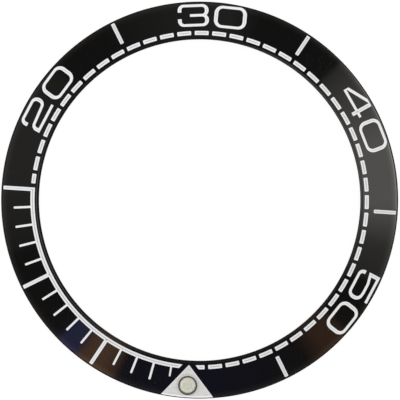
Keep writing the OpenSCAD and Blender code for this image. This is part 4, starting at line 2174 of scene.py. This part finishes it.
@dataclass
class Studio:
    """The pale floor, soft light and the camera above the part.

    The fill is the even light of the surroundings on matt surfaces. The key lamp's place is given to the photograph's
    right, upwards in it and towards the camera, in metres. Its light is how bright it makes a white surface that faces
    it, where 1 is white.
    """

    camera_height: float = 0.3
    frame_mm: float = 38.38
    photo_turn_deg: float = 3.7
    shift_mm: Pair = (0.032, 0.009)
    room: Room = Room()
    fill: float = 0.865
    sensor_mm: float = 36.0
    clip: Pair = (0.01, 20.0)
    floor_reach: float = 4.0
    floor_gap: float = 0.00002
    key_at: Triple = (0.4, 0.12, 0.42)
    key_size: float = 0.6
    key_light: float = 0.15

    def axes(self) -> tuple[Vector, Vector]:
        """The photograph's right and up in the ring's frame."""
        turn = math.radians(self.photo_turn_deg)
        return Vector((-math.cos(turn), -math.sin(turn), 0.0)), Vector((math.sin(turn), -math.cos(turn), 0.0))

    def camera(self) -> None:
        """Puts the camera straight above, turned as in the photograph."""
        data = bpy.data.cameras.new("camera")
        data.sensor_width = self.sensor_mm
        data.lens = data.sensor_width * self.camera_height / (self.frame_mm * MM)
        data.clip_start, data.clip_end = self.clip
        camera = bpy.data.objects.new("camera", data)
        bpy.context.scene.collection.objects.link(camera)
        right, up = self.axes()
        at = (right * self.shift_mm[0] + up * self.shift_mm[1]) * MM + Vector((0, 0, self.camera_height))
        camera.matrix_world = Matrix.Translation(at) @ Matrix((right, up, (0, 0, 1))).transposed().to_4x4()
        bpy.context.scene.camera = camera

    def floor(self) -> None:
        """Lays the floor."""
        mesh, reach = bpy.data.meshes.new("floor"), self.floor_reach
        corners = [(x * reach, y * reach, 0) for x, y in ((-1, -1), (1, -1), (1, 1), (-1, 1))]
        mesh.from_pydata(corners, [], [(0, 1, 2, 3)])
        mesh.materials.append(LightTable("light_table").material())
        floor = bpy.data.objects.new("floor", mesh)
        floor.location.z = -self.floor_gap
        bpy.context.scene.collection.objects.link(floor)

    def surroundings(self) -> None:
        """Makes the world: white to the camera, even light for matt surfaces, and a dim room in glossy ones."""
        world = bpy.data.worlds.new("studio")
        world.use_nodes = True
        bpy.context.scene.world = world
        g = Graph(world.node_tree)
        way = g.node("ShaderNodeSeparateXYZ", None, {0: g.node("ShaderNodeTexCoord").output("Generated")})
        x, y, z = (way.output(axis) for axis in "XYZ")
        around = g.node("ShaderNodeMath", {"operation": "ARCTAN2"}, {0: x, 1: y}) * (180 / math.pi)
        azimuth = g.node("ShaderNodeMath", {"operation": "WRAP"}, {0: around, 1: 360.0, 2: 0.0})
        polar = g.node("ShaderNodeMath", {"operation": "ARCCOSINE"}, {0: z}) * (180 / math.pi)
        seen = self.room.paint(g, azimuth, polar)
        ray = g.node("ShaderNodeLightPath")
        plain = g.blend(ray.output("Is Camera Ray"), (self.fill,) * 3, (1.0, 1.0, 1.0))
        mirrored = ray.output("Is Glossy Ray") * (1 - ray.output("Is Transmission Ray"))
        colour = g.blend(mirrored, plain, seen)
        back = g.node("ShaderNodeBackground", None, {"Color": colour, "Strength": 1.0})
        g.node("ShaderNodeOutputWorld", None, {"Surface": back})

    def key(self) -> None:
        """Hangs the soft lamp, which faces the part."""
        right, up = self.axes()
        at = self.key_at[0] * right + self.key_at[1] * up + Vector((0, 0, self.key_at[2]))
        data = bpy.data.lights.new("key", "AREA")
        data.size = self.key_size
        data.energy = self.key_light * math.pi**2 * at.length_squared
        lamp = bpy.data.objects.new("key", data)
        lamp.location = at
        lamp.rotation_mode = "QUATERNION"
        lamp.rotation_quaternion = (-at).to_track_quat("-Z", "Y")
        lamp.visible_camera = False
        bpy.context.scene.collection.objects.link(lamp)

    def build(self) -> None:
        """Sets up everything round the part."""
        self.camera()
        self.floor()
        self.surroundings()
        self.key()
        bpy.context.scene.view_settings.view_transform = "Standard"


# Putting it together


def seat(piece: Piece, node: str) -> None:
    """Lets a piece stand for a CAD node.

    Args:
        piece: The object that stands for it.
        node: The CAD node's name.
    """
    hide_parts(node)
    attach(piece, "root")
    low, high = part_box(node)
    own = np.array([v.co for v in piece.data.vertices])
    off = max(np.abs(own.min(0) - low).max(), np.abs(own.max(0) - high).max()) / MM
    triangles = sum(len(p.vertices) - 2 for p in piece.data.polygons)
    log.info("%s stands for %s: %d triangles, box within %.3f mm", piece.name, node, triangles, off)


def remove(piece: Piece) -> None:
    """Deletes a helper and its mesh.

    Args:
        piece: The helper.
    """
    mesh = piece.data
    bpy.data.objects.remove(piece)
    bpy.data.meshes.remove(mesh)


def lay_dashes(
    maker: InlayMaker, pattern: RingPattern, track: MinuteTrack, ends: dict[int, Loop],
) -> list[list[Loop]]:
    """Builds the minute dashes in their groups, from one dash that repeats and the two that differ.

    Args:
        maker: Makes the fills.
        pattern: Repeats the dash.
        track: The track that they belong to.
        ends: The outlines of the dashes that differ, by minute.

    Returns:
        The outline of each recess.
    """
    plain = track.plain_dash()
    dash = maker.mesh("dash", Inlay("", [plain]))
    pockets: list[list[Loop]] = []
    for start in range(SCALE_MINUTES, MINUTES, GROUP_MINUTES):
        minutes = range(start, start + GROUP_MINUTES)
        name = f"dashes_{start}_{start + GROUP_MINUTES}"
        own = [ends[m] for m in minutes if m in ends]
        even = [m for m in minutes if m not in ends]
        pockets += [[loop] for loop in own] + [[[turned(p, MINUTE_DEG * m) for p in plain]] for m in even]
        group = maker.mesh(name, Inlay("", own)) if own else Shell().build(name, [WHITE])
        pattern.apply(group, {
            "Mark": dash, "Count": len(even), "First angle": math.radians(MINUTE_DEG * even[0]),
            "Step angle": math.radians(MINUTE_DEG), "Finish": WHITE.material(),
        })
        seat(group, f"minute_{name}")
    remove(dash)
    return pockets


def lay_marks(maker: InlayMaker, pattern: RingPattern, marks: FiveMinuteMarks) -> list[list[Loop]]:
    """Builds the lone five-minute marks from one that repeats.

    Args:
        maker: Makes the fill.
        pattern: Turns it to its minute.
        marks: Shapes it.

    Returns:
        The outline of each recess.
    """
    mark = maker.mesh("mark", Inlay("", [marks.loop()]))
    for minute in marks.minutes:
        single = Shell().build(f"mark_{minute}", [MARK_WHITE])
        pattern.apply(single, {
            "Mark": mark, "Count": 1, "First angle": math.radians(MINUTE_DEG * minute), "Step angle": 0.0,
            "Finish": MARK_WHITE.material(),
        })
        seat(single, f"five_minute_mark_{minute}")
    remove(mark)
    return [[[turned(p, MINUTE_DEG * minute) for p in marks.loop()]] for minute in marks.minutes]


def main() -> None:
    """Builds every piece, seats it and sets up the studio."""
    logging.basicConfig(level=logging.INFO, format="%(message)s", stream=sys.stdout)
    blank = RingBlank()
    track = MinuteTrack(blank)
    marks = FiveMinuteMarks(blank, track)
    scale = ElapsedScale(track, marks)
    numerals = Numerals(blank, track)
    triangle = ZeroTriangle(blank, track)
    pearl = Pearl(blank)
    maker = InlayMaker(blank)
    pattern = RingPattern()

    border = triangle.beyond(triangle.border)
    inlays = [Inlay("elapsed_scale", scale.loops(border))]
    inlays += [Inlay(digit.node, numerals.loops(digit)) for digit in numerals.digits]
    silver = Inlay("zero_triangle", triangle.loops(pearl.diameter / 2 + pearl.hole_margin, pearl.centre_r), SILVER)
    pockets = [inlay.loops for inlay in inlays]
    ends = {SCALE_MINUTES: track.first_dash(marks.width), MINUTES - 1: track.last_dash(border)}
    pockets += lay_dashes(maker, pattern, track, ends)
    pockets += lay_marks(maker, pattern, marks)
    for inlay in inlays:
        seat(maker.mesh(f"{inlay.node}_fill", inlay), inlay.node)
    seat(maker.mesh("zero_triangle_fill", silver, [triangle.crease()]), "zero_triangle")
    seat(InsertRing(blank, pockets, triangle, pearl).build(), "insert_ring")
    seat(AdhesiveRing(blank).build(), "adhesive_ring")
    seat(pearl.cup(), "pearl_cup")
    seat(LumePellet(pearl).build(), "lume_pellet")
    seat(pearl.lens(), "pearl_lens")
    Studio().build()


if __name__ == "__main__":
    main()
